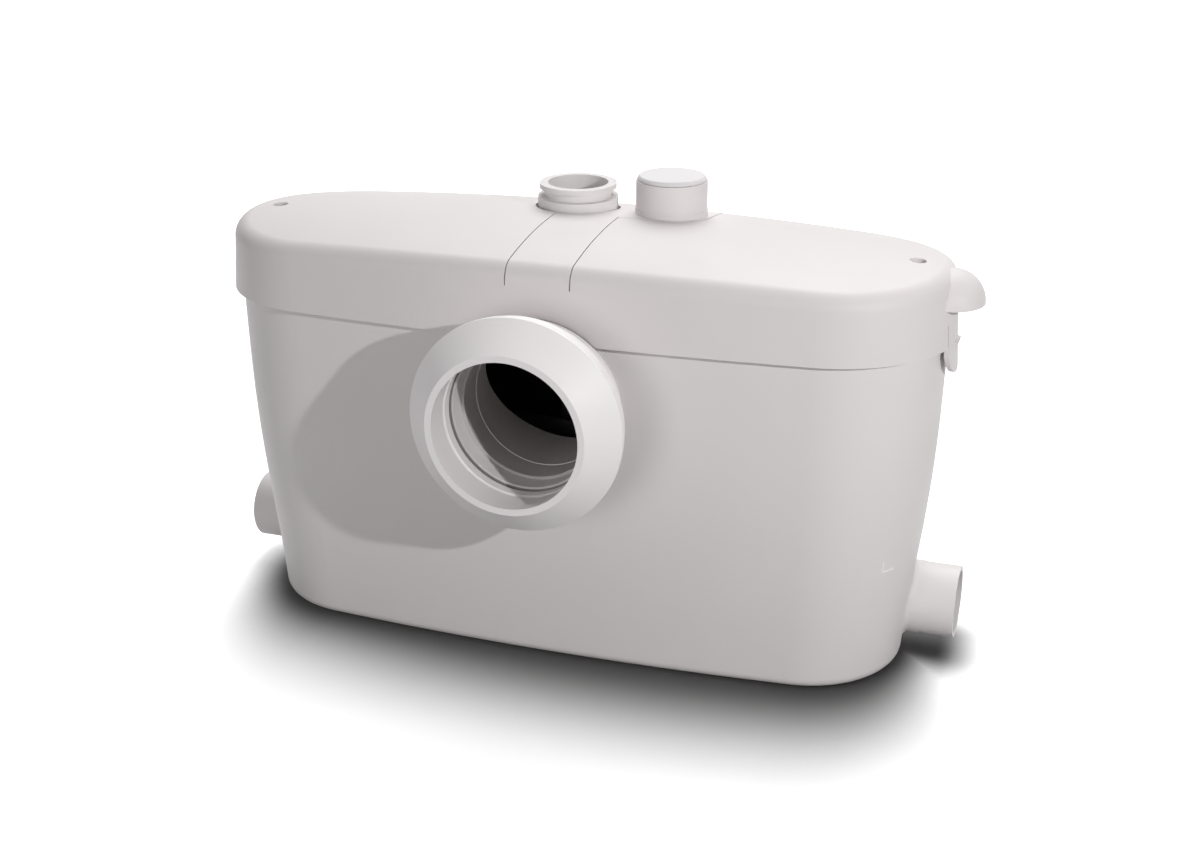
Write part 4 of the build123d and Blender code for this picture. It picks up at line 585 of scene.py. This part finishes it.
@dataclass(frozen=True)
class SoftRubber(Finish):
    """Rubber with a faint bloom over it."""

    bloom: float = 0.15
    bloom_roughness: float = 0.5

    def polish(self, shader: bpy.types.Node) -> None:
        """Add the bloom.

        Args:
            shader: The material's shader.
        """
        shader.inputs["Sheen Weight"].default_value = self.bloom
        shader.inputs["Sheen Roughness"].default_value = self.bloom_roughness


@dataclass(frozen=True)
class MachinedMetal(Finish):
    """Turned or stacked metal with fine bands along its axis."""

    band_scale: float = 420.0

    def relief(self, board: NodeBoard, place: bpy.types.NodeSocket) -> bpy.types.NodeSocket:
        """Lay the bands over the grain.

        Args:
            board: The material's nodes.
            place: The point on the piece.

        Returns:
            The height's socket.
        """
        grain = super().relief(board, place)
        bands = EFFECTS.place(board, Effect.BANDS, Place=place, Scale=self.band_scale)
        return board.sum_up("ADD", grain, bands)


@dataclass(frozen=True)
class WoundWire(Finish):
    """Enamelled wire wound round an upright axis."""

    turns: float = 90.0

    def relief(self, board: NodeBoard, place: bpy.types.NodeSocket) -> bpy.types.NodeSocket:
        """Raise each turn of the wire.

        Args:
            board: The material's nodes.
            place: The point on the piece.

        Returns:
            The height's socket.
        """
        return EFFECTS.place(board, Effect.WRAP, Place=place, Turns=self.turns)


class Dresser:
    """Keeps one material for each finish and puts it on nodes and pieces."""

    def __init__(self) -> None:
        """Start with no materials."""
        self._made: dict[str, bpy.types.Material] = {}

    def material(self, finish: Finish) -> bpy.types.Material:
        """Give a finish's material, built at its first use.

        Args:
            finish: The finish that is wanted.

        Returns:
            Its material.
        """
        if finish.name not in self._made:
            self._made[finish.name] = finish.build()
        return self._made[finish.name]

    def dress(self, finish: Finish, *nodes: str) -> None:
        """Put a finish on nodes of the frame.

        Args:
            finish: The finish.
            nodes: Names of the nodes.
        """
        for name in nodes:
            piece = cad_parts[name]
            if not piece.material_slots:
                piece.data.materials.append(None)
            for slot in piece.material_slots:
                slot.material = self.material(finish)
            LOG.info("%s: %s", name, finish.name)


DRESSER = Dresser()


def meshed(name: str, shape: bmesh.types.BMesh) -> bpy.types.Mesh:
    """Turn a shape into a mesh.

    Args:
        name: The mesh's name.
        shape: Its form, which is freed.

    Returns:
        The mesh.
    """
    mesh = bpy.data.meshes.new(name)
    shape.to_mesh(mesh)
    shape.free()
    return mesh


def hung(name: str, data: bpy.types.ID) -> bpy.types.Object:
    """Put a mesh, a lamp or a camera in the scene.

    Args:
        name: The new object's name.
        data: The mesh, lamp or camera.

    Returns:
        The object.
    """
    item = bpy.data.objects.new(name, data)
    bpy.context.scene.collection.objects.link(item)
    return item


def finished_piece(name: str, shape: bmesh.types.BMesh, finish: Finish, body: str) -> None:
    """Turn a shape into a piece that rides on a body.

    Args:
        name: The piece's name.
        shape: Its finished form, which is freed.
        finish: Its finish.
        body: The body that it rides on.
    """
    bmesh.ops.remove_doubles(shape, verts=shape.verts, dist=WELD)
    bmesh.ops.recalc_face_normals(shape, faces=shape.faces)
    mesh = meshed(name, shape)
    mesh.materials.append(DRESSER.material(finish))
    piece = hung(name, mesh)
    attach(piece, body)
    LOG.info("%s: new piece, %d faces", name, len(mesh.polygons))


@dataclass
class TankAndBase:
    """The flared tank, the pads under it, the moulded tick on its right end and its pan inlet's seam."""

    finish: Finish = InsideShadedPlastic("tank_plastic", (0.80, 0.765, 0.765), (0.785, 0.75, 0.75), Gloss.SOFT)
    pad_finish: Finish = SoftRubber("pad_rubber", (0.05, 0.05, 0.05), (0.07, 0.07, 0.07), Gloss.DULL)
    # Tick and seam plastic, lighter than the tank's that they are moulded in: a painted highlight.
    painted_highlight_finish: Finish = MouldedPlastic("painted_highlight_plastic", (0.94, 0.915, 0.915), (0.92, 0.895, 0.895),
                                         Gloss.SATIN)
    end_centre: float = 0.1375
    end_radius: float = 0.06
    corner_angle: float = -40.0
    corner_height: float = 0.07
    foot_turn: float = 7.8
    stem_height: float = 0.0068
    rib_width: float = 0.0008
    rib_depth: float = 0.0008
    rib_cuts: int = 7
    rib_edge: float = 0.3
    rib_edge_cuts: int = 2
    rib_edge_round: float = 0.5
    seam_radius: float = 0.0384
    seam_depth: float = -0.066
    seam_section: float = 0.0003
    seam_sides: int = 8
    seam_steps: int = 96

    def build(self) -> None:
        """Dress the tank and its pads, then add the tick and the pan inlet's seam."""
        DRESSER.dress(self.finish, "tank")
        DRESSER.dress(self.pad_finish, "base_pads")
        self._tick()
        self._inlet_seam()

    def _on_wall(self, turn: float, height: float, stand: float) -> Vector:
        """Find a place on or just off the tank's right end.

        Args:
            turn: Angle about the end's centre, in degrees.
            height: Height above the floor.
            stand: How far the place stands off the wall.

        Returns:
            The place.
        """
        near = Vector((self.end_centre + self.end_radius * cos(radians(turn)),
                       self.end_radius * sin(radians(turn)), height))
        found, place, normal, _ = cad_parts["tank"].closest_point_on_mesh(near)
        return (place if found else near) + normal * stand

    @staticmethod
    def _lengthwise(rib: bmesh.types.BMesh) -> list[bmesh.types.BMEdge]:
        """Find the edges that run along a rib, while it is still a cube of side 1."""
        return [edge for edge in rib.edges if abs((edge.verts[0].co - edge.verts[1].co).x) > CUBE_HALF]

    def _rib(self, start: tuple[float, float], end: tuple[float, float]) -> bmesh.types.BMesh:
        """Shape a raised rib that hugs the wall, with half of its depth sunk in it.

        Args:
            start: Turn in degrees and height of its first end.
            end: Turn and height of its other end.

        Returns:
            The rib.
        """
        rib = bmesh.new()
        bmesh.ops.create_cube(rib, size=2.0 * CUBE_HALF)
        bmesh.ops.translate(rib, verts=rib.verts, vec=(CUBE_HALF, 0.0, 0.0))
        bmesh.ops.bevel(rib, geom=self._lengthwise(rib), offset=self.rib_edge, offset_type="OFFSET",
                        segments=self.rib_edge_cuts, profile=self.rib_edge_round, affect="EDGES", material=-1)
        bmesh.ops.subdivide_edges(rib, edges=self._lengthwise(rib), cuts=self.rib_cuts)
        upright = start[0] == end[0]
        across = self.rib_width / (radians(1.0) * self.end_radius) if upright else self.rib_width
        for point in rib.verts:
            share, side, out = point.co
            turn = start[0] + (end[0] - start[0]) * share + (side * across if upright else 0.0)
            height = start[1] + (end[1] - start[1]) * share + (0.0 if upright else side * across)
            point.co = self._on_wall(turn, height, out * self.rib_depth)
        return rib

    def _tick(self) -> None:
        """Raise the moulded tick low on the tank's right end."""
        corner = (self.corner_angle, self.corner_height)
        top = (self.corner_angle, self.corner_height + self.stem_height)
        tip = (self.corner_angle + self.foot_turn, self.corner_height)
        for name, end in (("tick_stem", top), ("tick_foot", tip)):
            # The tick's lighter plastic is a painted highlight.
            finished_piece(name, self._rib(corner, end), self.painted_highlight_finish, HOUSING)

    def _inlet_seam(self) -> None:
        """Lay the fine moulded seam inside the pan inlet."""
        axis_height = self.finish.axis_height
        middle = (0.0, self.seam_depth, axis_height)
        seam = bmesh.new()
        bmesh.ops.create_circle(seam, segments=self.seam_sides, radius=self.seam_section)
        bmesh.ops.rotate(seam, verts=seam.verts, cent=ORIGIN, matrix=Matrix.Rotation(pi / 2.0, 3, "Y"))
        bmesh.ops.translate(seam, verts=seam.verts,
                            vec=(0.0, self.seam_depth, axis_height + self.seam_radius))
        bmesh.ops.spin(seam, geom=seam.verts[:] + seam.edges[:], cent=middle, axis=(0.0, 1.0, 0.0),
                       angle=2.0 * pi, steps=self.seam_steps, use_merge=True)
        # The seam's lighter plastic is a painted highlight.
        finished_piece("pan_inlet_seam", seam, self.painted_highlight_finish, HOUSING)


@dataclass
class LidAndCovers:
    """The lid, its two covers and their screws."""

    finish: Finish = MouldedPlastic("lid_plastic", (0.79, 0.745, 0.746), (0.775, 0.73, 0.731), Gloss.SOFT)
    screw_finish: Finish = MachinedMetal("screw_steel", (0.55, 0.55, 0.56), (0.5, 0.5, 0.51),
                                         Gloss.SOFT, metallic=1.0)
    gland_finish: Finish = SoftRubber("gland_rubber", (0.5, 0.5, 0.51), (0.46, 0.46, 0.47), Gloss.DULL)

    def build(self) -> None:
        """Dress the lid, the covers, the screws and the cord's gland."""
        DRESSER.dress(self.finish, "lid", "left_access_cover", "right_access_cover")
        DRESSER.dress(self.screw_finish, "left_cover_screw", "right_cover_screw")
        DRESSER.dress(self.gland_finish, "cord_gland")


@dataclass
class PipeEnds:
    """The sleeve for the pan, the capped inlet, the discharge stub and their valves and seals."""

    sleeve_finish: Finish = SoftRubber("sleeve_rubber", (0.94, 0.905, 0.91), (0.93, 0.895, 0.9), Gloss.SOFT)
    cap_finish: Finish = MouldedPlastic("cap_plastic", (0.80, 0.78, 0.784), (0.79, 0.77, 0.774), Gloss.SATIN)
    stub_finish: Finish = MouldedPlastic("stub_plastic", (0.80, 0.77, 0.77), (0.785, 0.755, 0.755),
                                         Gloss.SOFT)
    flap_finish: Finish = SoftRubber("flap_rubber", (0.06, 0.06, 0.06), (0.08, 0.08, 0.08), Gloss.DULL)
    seal_finish: Finish = SoftRubber("seal_rubber", (0.03, 0.03, 0.03), (0.045, 0.045, 0.045), Gloss.SOFT)
    inner_finish: Finish = MouldedPlastic("pipe_plastic", (0.06, 0.06, 0.062), (0.05, 0.05, 0.052),
                                          Gloss.SOFT)
    pin_finish: Finish = MachinedMetal("pin_steel", (0.6, 0.6, 0.61), (0.55, 0.55, 0.56),
                                       Gloss.BRIGHT, metallic=1.0)

    def build(self) -> None:
        """Dress every pipe end."""
        DRESSER.dress(self.sleeve_finish, "wc_sleeve")
        DRESSER.dress(self.cap_finish, "upper_inlet_cap")
        DRESSER.dress(self.stub_finish, "discharge_stub")
        DRESSER.dress(self.flap_finish, "check_flap", "left_inlet_flap", "right_inlet_flap")
        DRESSER.dress(self.seal_finish, "cap_seal_ring", "stub_seal_ring", "riser_coupling")
        DRESSER.dress(self.inner_finish, "inlet_drop_pipe", "discharge_riser", "check_valve_seat",
                      "inlet_chute")
        DRESSER.dress(self.pin_finish, "check_flap_pin", "inlet_flap_pins")


@dataclass
class MotorAndPump:
    """The sealed motor, the cutter and the pump below it."""

    alloy: Finish = Finish("cast_alloy", (0.62, 0.63, 0.64), (0.56, 0.57, 0.58), Gloss.SOFT, metallic=1.0,
                           grain_scale=700.0, grain_depth=0.00006, drift_scale=30.0)
    steel: Finish = MachinedMetal("turned_steel", (0.62, 0.62, 0.63), (0.56, 0.56, 0.57),
                                  Gloss.BRIGHT, metallic=1.0)
    core: Finish = MachinedMetal("varnished_core", (0.12, 0.12, 0.13), (0.16, 0.15, 0.15), Gloss.SOFT,
                                 metallic=0.4, band_scale=600.0, grain_depth=0.00005)
    wire: Finish = WoundWire("enamelled_wire", (0.42, 0.17, 0.07), (0.5, 0.21, 0.09), Gloss.BRIGHT,
                             metallic=0.8, grain_depth=0.0004, centre=(0.1, 0.0, 0.0))
    filled: Finish = MouldedPlastic("glass_filled_plastic", (0.05, 0.05, 0.05), (0.065, 0.065, 0.065),
                                    Gloss.DULL, grain_depth=0.00002)
    grey: Finish = MouldedPlastic("pump_plastic", (0.38, 0.38, 0.39), (0.35, 0.35, 0.36), Gloss.SOFT)
    seal: Finish = SoftRubber("gasket_rubber", (0.04, 0.04, 0.04), (0.055, 0.055, 0.055), Gloss.DULL)

    def build(self) -> None:
        """Dress the motor, the cutter and the pump."""
        DRESSER.dress(self.alloy, "motor_can", "motor_top_cover")
        DRESSER.dress(self.steel, "motor_shaft", "lower_bearing", "upper_bearing", "cutter_hub",
                      "cutter_blades", "impeller_nut", "motor_cover_screws", "pump_screws")
        DRESSER.dress(self.core, "stator_core", "rotor_core")
        DRESSER.dress(self.wire, "stator_windings")
        DRESSER.dress(self.filled, "cutter_basket", "impeller", "thermal_cutout")
        DRESSER.dress(self.grey, "pump_casing", "pump_base_plate")
        DRESSER.dress(self.seal, "shaft_seal", "motor_gasket")


@dataclass
class DeckAndControls:
    """The inner deck with the level switch, capacitor, terminals, leads and vent."""

    deck: Finish = MouldedPlastic("deck_plastic", (0.12, 0.12, 0.125), (0.1, 0.1, 0.105), Gloss.SOFT)
    black: Finish = MouldedPlastic("control_plastic", (0.05, 0.05, 0.05), (0.06, 0.06, 0.06), Gloss.SOFT)
    shell: Finish = MouldedPlastic("capacitor_plastic", (0.72, 0.72, 0.7), (0.68, 0.68, 0.66), Gloss.SATIN)
    steel: Finish = MachinedMetal("deck_steel", (0.6, 0.6, 0.61), (0.55, 0.55, 0.56),
                                  Gloss.SOFT, metallic=1.0)
    brass: Finish = MachinedMetal("terminal_brass", (0.72, 0.52, 0.22), (0.66, 0.46, 0.18),
                                  Gloss.BRIGHT, metallic=1.0)
    sheath: Finish = SoftRubber("lead_sheath", (0.2, 0.2, 0.21), (0.17, 0.17, 0.18), Gloss.SOFT)
    rubber: Finish = SoftRubber("diaphragm_rubber", (0.05, 0.05, 0.05), (0.065, 0.065, 0.065), Gloss.DULL)

    def build(self) -> None:
        """Dress the deck and what stands on it."""
        DRESSER.dress(self.deck, "inner_deck", "pressure_bell", "switch_housing")
        DRESSER.dress(self.black, "level_switch", "terminal_block", "vent_filter", "switch_plunger")
        DRESSER.dress(self.shell, "capacitor")
        DRESSER.dress(self.steel, "deck_screws", "capacitor_clip")
        DRESSER.dress(self.brass, "terminal_screws")
        DRESSER.dress(self.sheath, "motor_lead", "capacitor_lead", "switch_lead")
        DRESSER.dress(self.rubber, "diaphragm", "deck_gasket")


@dataclass
class Studio:
    """Pale floor, soft lights, white surroundings and the camera."""

    # The camera, at the photograph's place.
    eye: Place = (0.30155, -0.88006, 0.48971)
    aim: Place = (0.01077, 0.0, 0.1204)
    lens: float = 51.907
    sensor: float = 36.0
    # The surroundings and the lamps, whose powers are in watts. The key is small, so its shadows are sharp.
    sky: float = 0.18
    key_at: Place = (0.783, -0.59, 0.559)
    key_power: float = 18.2
    key_radius: float = 0.012
    panel_aim: Place = (0.0, 0.0, 0.1)
    top_at: Place = (-0.12, 1.0, 1.5)
    top_power: float = 23.5
    top_size: float = 1.3
    fill_at: Place = (-0.4, -2.2, 0.5)
    fill_power: float = 9.0
    fill_size: float = 1.0
    # The floor's paper: its tone far from the object, as unseen rays find it, and in the painted shadow near
    # it.
    floor_half: float = 8.0
    paper: float = 0.97
    paper_unseen: float = 0.6
    # Paper tone in the painted shadow at the object.
    painted_shadow_paper: float = 0.2
    # Added to whiten the floor: everywhere but in the painted shadow near the object, more from far_start on.
    floor_lift: float = 0.78
    far_start: float = 0.4
    far_end: float = 1.0
    far_lift: float = 0.22
    # The bar of the side inlets, which the painted shadow also darkens towards: its middle and half its
    # sides.
    inlet_centre: Place = (0.0125, 0.0185, 0.0)
    inlet_half: Place = (0.197, 0.011, 0.0)
    # How far the floor's painted shadow reaches beside and in front of the object, and what counts as in
    # front of it.
    reach_side: float = 0.036
    reach_front: float = 0.12
    front_scale: Place = (5.3, -16.0, 0.0)
    front_shift: Place = (-0.3, 0.0, 0.0)
    front_power: float = 3.0

    def build(self) -> None:
        """Lay the floor, hang the lights and set the camera."""
        floor = self._floor()
        self._world()
        key = self._key()
        self._panel("top_light", self.top_at, self.top_power, self.top_size)
        fill = self._panel("fill_light", self.fill_at, self.fill_power, self.fill_size)
        self._spare(floor, key, fill)
        self._camera()
        bpy.context.scene.view_settings.view_transform = "Standard"

    @staticmethod
    def _seen_directly(board: NodeBoard) -> bpy.types.NodeSocket:
        """Tell camera, glossy and transmission rays from the rest.

        Args:
            board: The nodes that ask.

        Returns:
            A socket that is 1 for such rays.
        """
        rays = board.place("ShaderNodeLightPath")
        either = board.sum_up("MAXIMUM", rays.outputs["Is Camera Ray"], rays.outputs["Is Glossy Ray"])
        return board.sum_up("MAXIMUM", either, rays.outputs["Is Transmission Ray"])

    def _floor(self) -> bpy.types.Object:
        """Lay a wide pale floor: real shadow plus a painted one, fading to white away from the object.

        Returns:
            The floor.
        """
        shape = bmesh.new()
        bmesh.ops.create_grid(shape, x_segments=2, y_segments=2, size=self.floor_half)
        mesh = meshed("floor", shape)
        mesh.materials.append(self._paper())
        floor = hung("floor", mesh)
        return floor

    def _paper(self) -> bpy.types.Material:
        """Make the floor's paper: painted shadow close to the object, lifted to white for rays that see it
        directly.

        Returns:
            The material.
        """
        material = bpy.data.materials.new("floor_paper")
        board = cleared_board(material)
        seen = self._seen_directly(board)
        place = board.place("ShaderNodeTexCoord").outputs["Object"]
        # Painted shadow: close to the object the paper darkens and loses its lift.
        shade = self._painted_shadow_grade(board, place)
        near = board.spread(shade, self.paper, self.painted_shadow_paper)
        paper = board.place("ShaderNodeBsdfDiffuse", {"Color": board.spread(seen, self.paper_unseen, near)})
        lift = board.spread(shade, self.floor_lift, 0.0)
        far = board.spread(board.vector("LENGTH", place), 0.0, self.far_lift, self.far_start, self.far_end)
        raised = board.sum_up("ADD", lift, far)
        glow = board.place("ShaderNodeEmission", {"Strength": board.sum_up("MULTIPLY", seen, raised)})
        both = board.place("ShaderNodeAddShader", {0: paper.outputs[0], 1: glow.outputs[0]})
        board.place("ShaderNodeOutputMaterial", {"Surface": both.outputs[0]})
        return material

    def _painted_shadow_grade(self, board: NodeBoard, place: bpy.types.NodeSocket) -> bpy.types.NodeSocket:
        """Grade the painted shadow on the floor away from the tank and its side inlets, and widest in front.

        Args:
            board: The material's nodes.
            place: The point on the floor.

        Returns:
            A socket for the painted shadow: 1 at the object, falling to 0 on the white floor.
        """
        outside = board.sum_up("MULTIPLY", EFFECTS.place(board, Effect.TANK_DEPTH, Place=place), -1.0)
        folded = board.vector("ABSOLUTE", board.vector("SUBTRACT", place, self.inlet_centre))
        past = board.vector("MAXIMUM", board.vector("SUBTRACT", folded, self.inlet_half), ORIGIN)
        away = board.sum_up("MINIMUM", outside, board.vector("LENGTH", past))
        turned = board.vector("MULTIPLY_ADD", place, self.front_scale, self.front_shift)
        _, ahead, _ = board.split(board.vector("NORMALIZE", turned))
        frontal = board.sum_up("POWER", board.sum_up("MAXIMUM", ahead, 0.0), self.front_power)
        reach = board.spread(frontal, self.reach_side, self.reach_front)
        return board.spread(board.sum_up("DIVIDE", away, reach), 1.0, 0.0, interpolation_type="SMOOTHSTEP")

    def _world(self) -> None:
        """Light softly from all round; the camera sees plain white."""
        world = bpy.data.worlds.new("white_room")
        board = cleared_board(world)
        strength = board.spread(self._seen_directly(board), self.sky, 1.0)
        light = board.place("ShaderNodeBackground", {"Color": full(WHITE), "Strength": strength})
        board.place("ShaderNodeOutputWorld", {"Surface": light.outputs[0]})
        bpy.context.scene.world = world

    def _key(self) -> bpy.types.Object:
        """Hang the small key lamp that throws the sleeve's shadow.

        Returns:
            The lamp.
        """
        lamp = bpy.data.lights.new("key_light", "POINT")
        lamp.energy = self.key_power
        lamp.shadow_soft_size = self.key_radius
        holder = hung("key_light", lamp)
        holder.location = self.key_at
        return holder

    @staticmethod
    def _spare(floor: bpy.types.Object, *lamps: bpy.types.Object) -> None:
        """Keep lamps off the floor, so that its shadow stays dark.

        Args:
            floor: The floor.
            lamps: The lamps that light the object only.
        """
        unlit = bpy.data.collections.new("unlit_floor")
        unlit.objects.link(floor)
        unlit.collection_objects[0].light_linking.link_state = "EXCLUDE"
        for lamp in lamps:
            lamp.light_linking.receiver_collection = unlit

    @staticmethod
    def _aimed(item: bpy.types.Object, place: Place, aim: Place) -> bpy.types.Object:
        """Set a lamp or a camera at a place and turn it to face a point.

        Args:
            item: The lamp or the camera.
            place: Where it goes.
            aim: The point that it faces.

        Returns:
            The lamp or the camera.
        """
        item.location = place
        item.rotation_mode = "QUATERNION"
        item.rotation_quaternion = (Vector(aim) - Vector(place)).to_track_quat("-Z", "Y")
        return item

    def _panel(self, name: str, place: Place, power: float, size: float) -> bpy.types.Object:
        """Hang a square soft box that faces the object.

        Args:
            name: The lamp's name.
            place: Where it hangs.
            power: Its power in watts.
            size: Its side.

        Returns:
            The lamp.
        """
        lamp = bpy.data.lights.new(name, "AREA")
        lamp.energy = power
        lamp.size = size
        return self._aimed(hung(name, lamp), place, self.panel_aim)

    def _camera(self) -> None:
        """Set the camera at the photograph's place."""
        data = bpy.data.cameras.new("camera")
        data.lens = self.lens
        data.sensor_width = self.sensor
        bpy.context.scene.camera = self._aimed(hung("camera", data), self.eye, self.aim)


def main() -> None:
    """Build each sub-assembly in order, then the studio."""
    logging.basicConfig(level=logging.INFO, format="%(message)s")
    for assembly in (TankAndBase(), LidAndCovers(), PipeEnds(), MotorAndPump(), DeckAndControls(), Studio()):
        assembly.build()
        LOG.info("%s done", type(assembly).__name__)


if __name__ == "__main__":
    main()
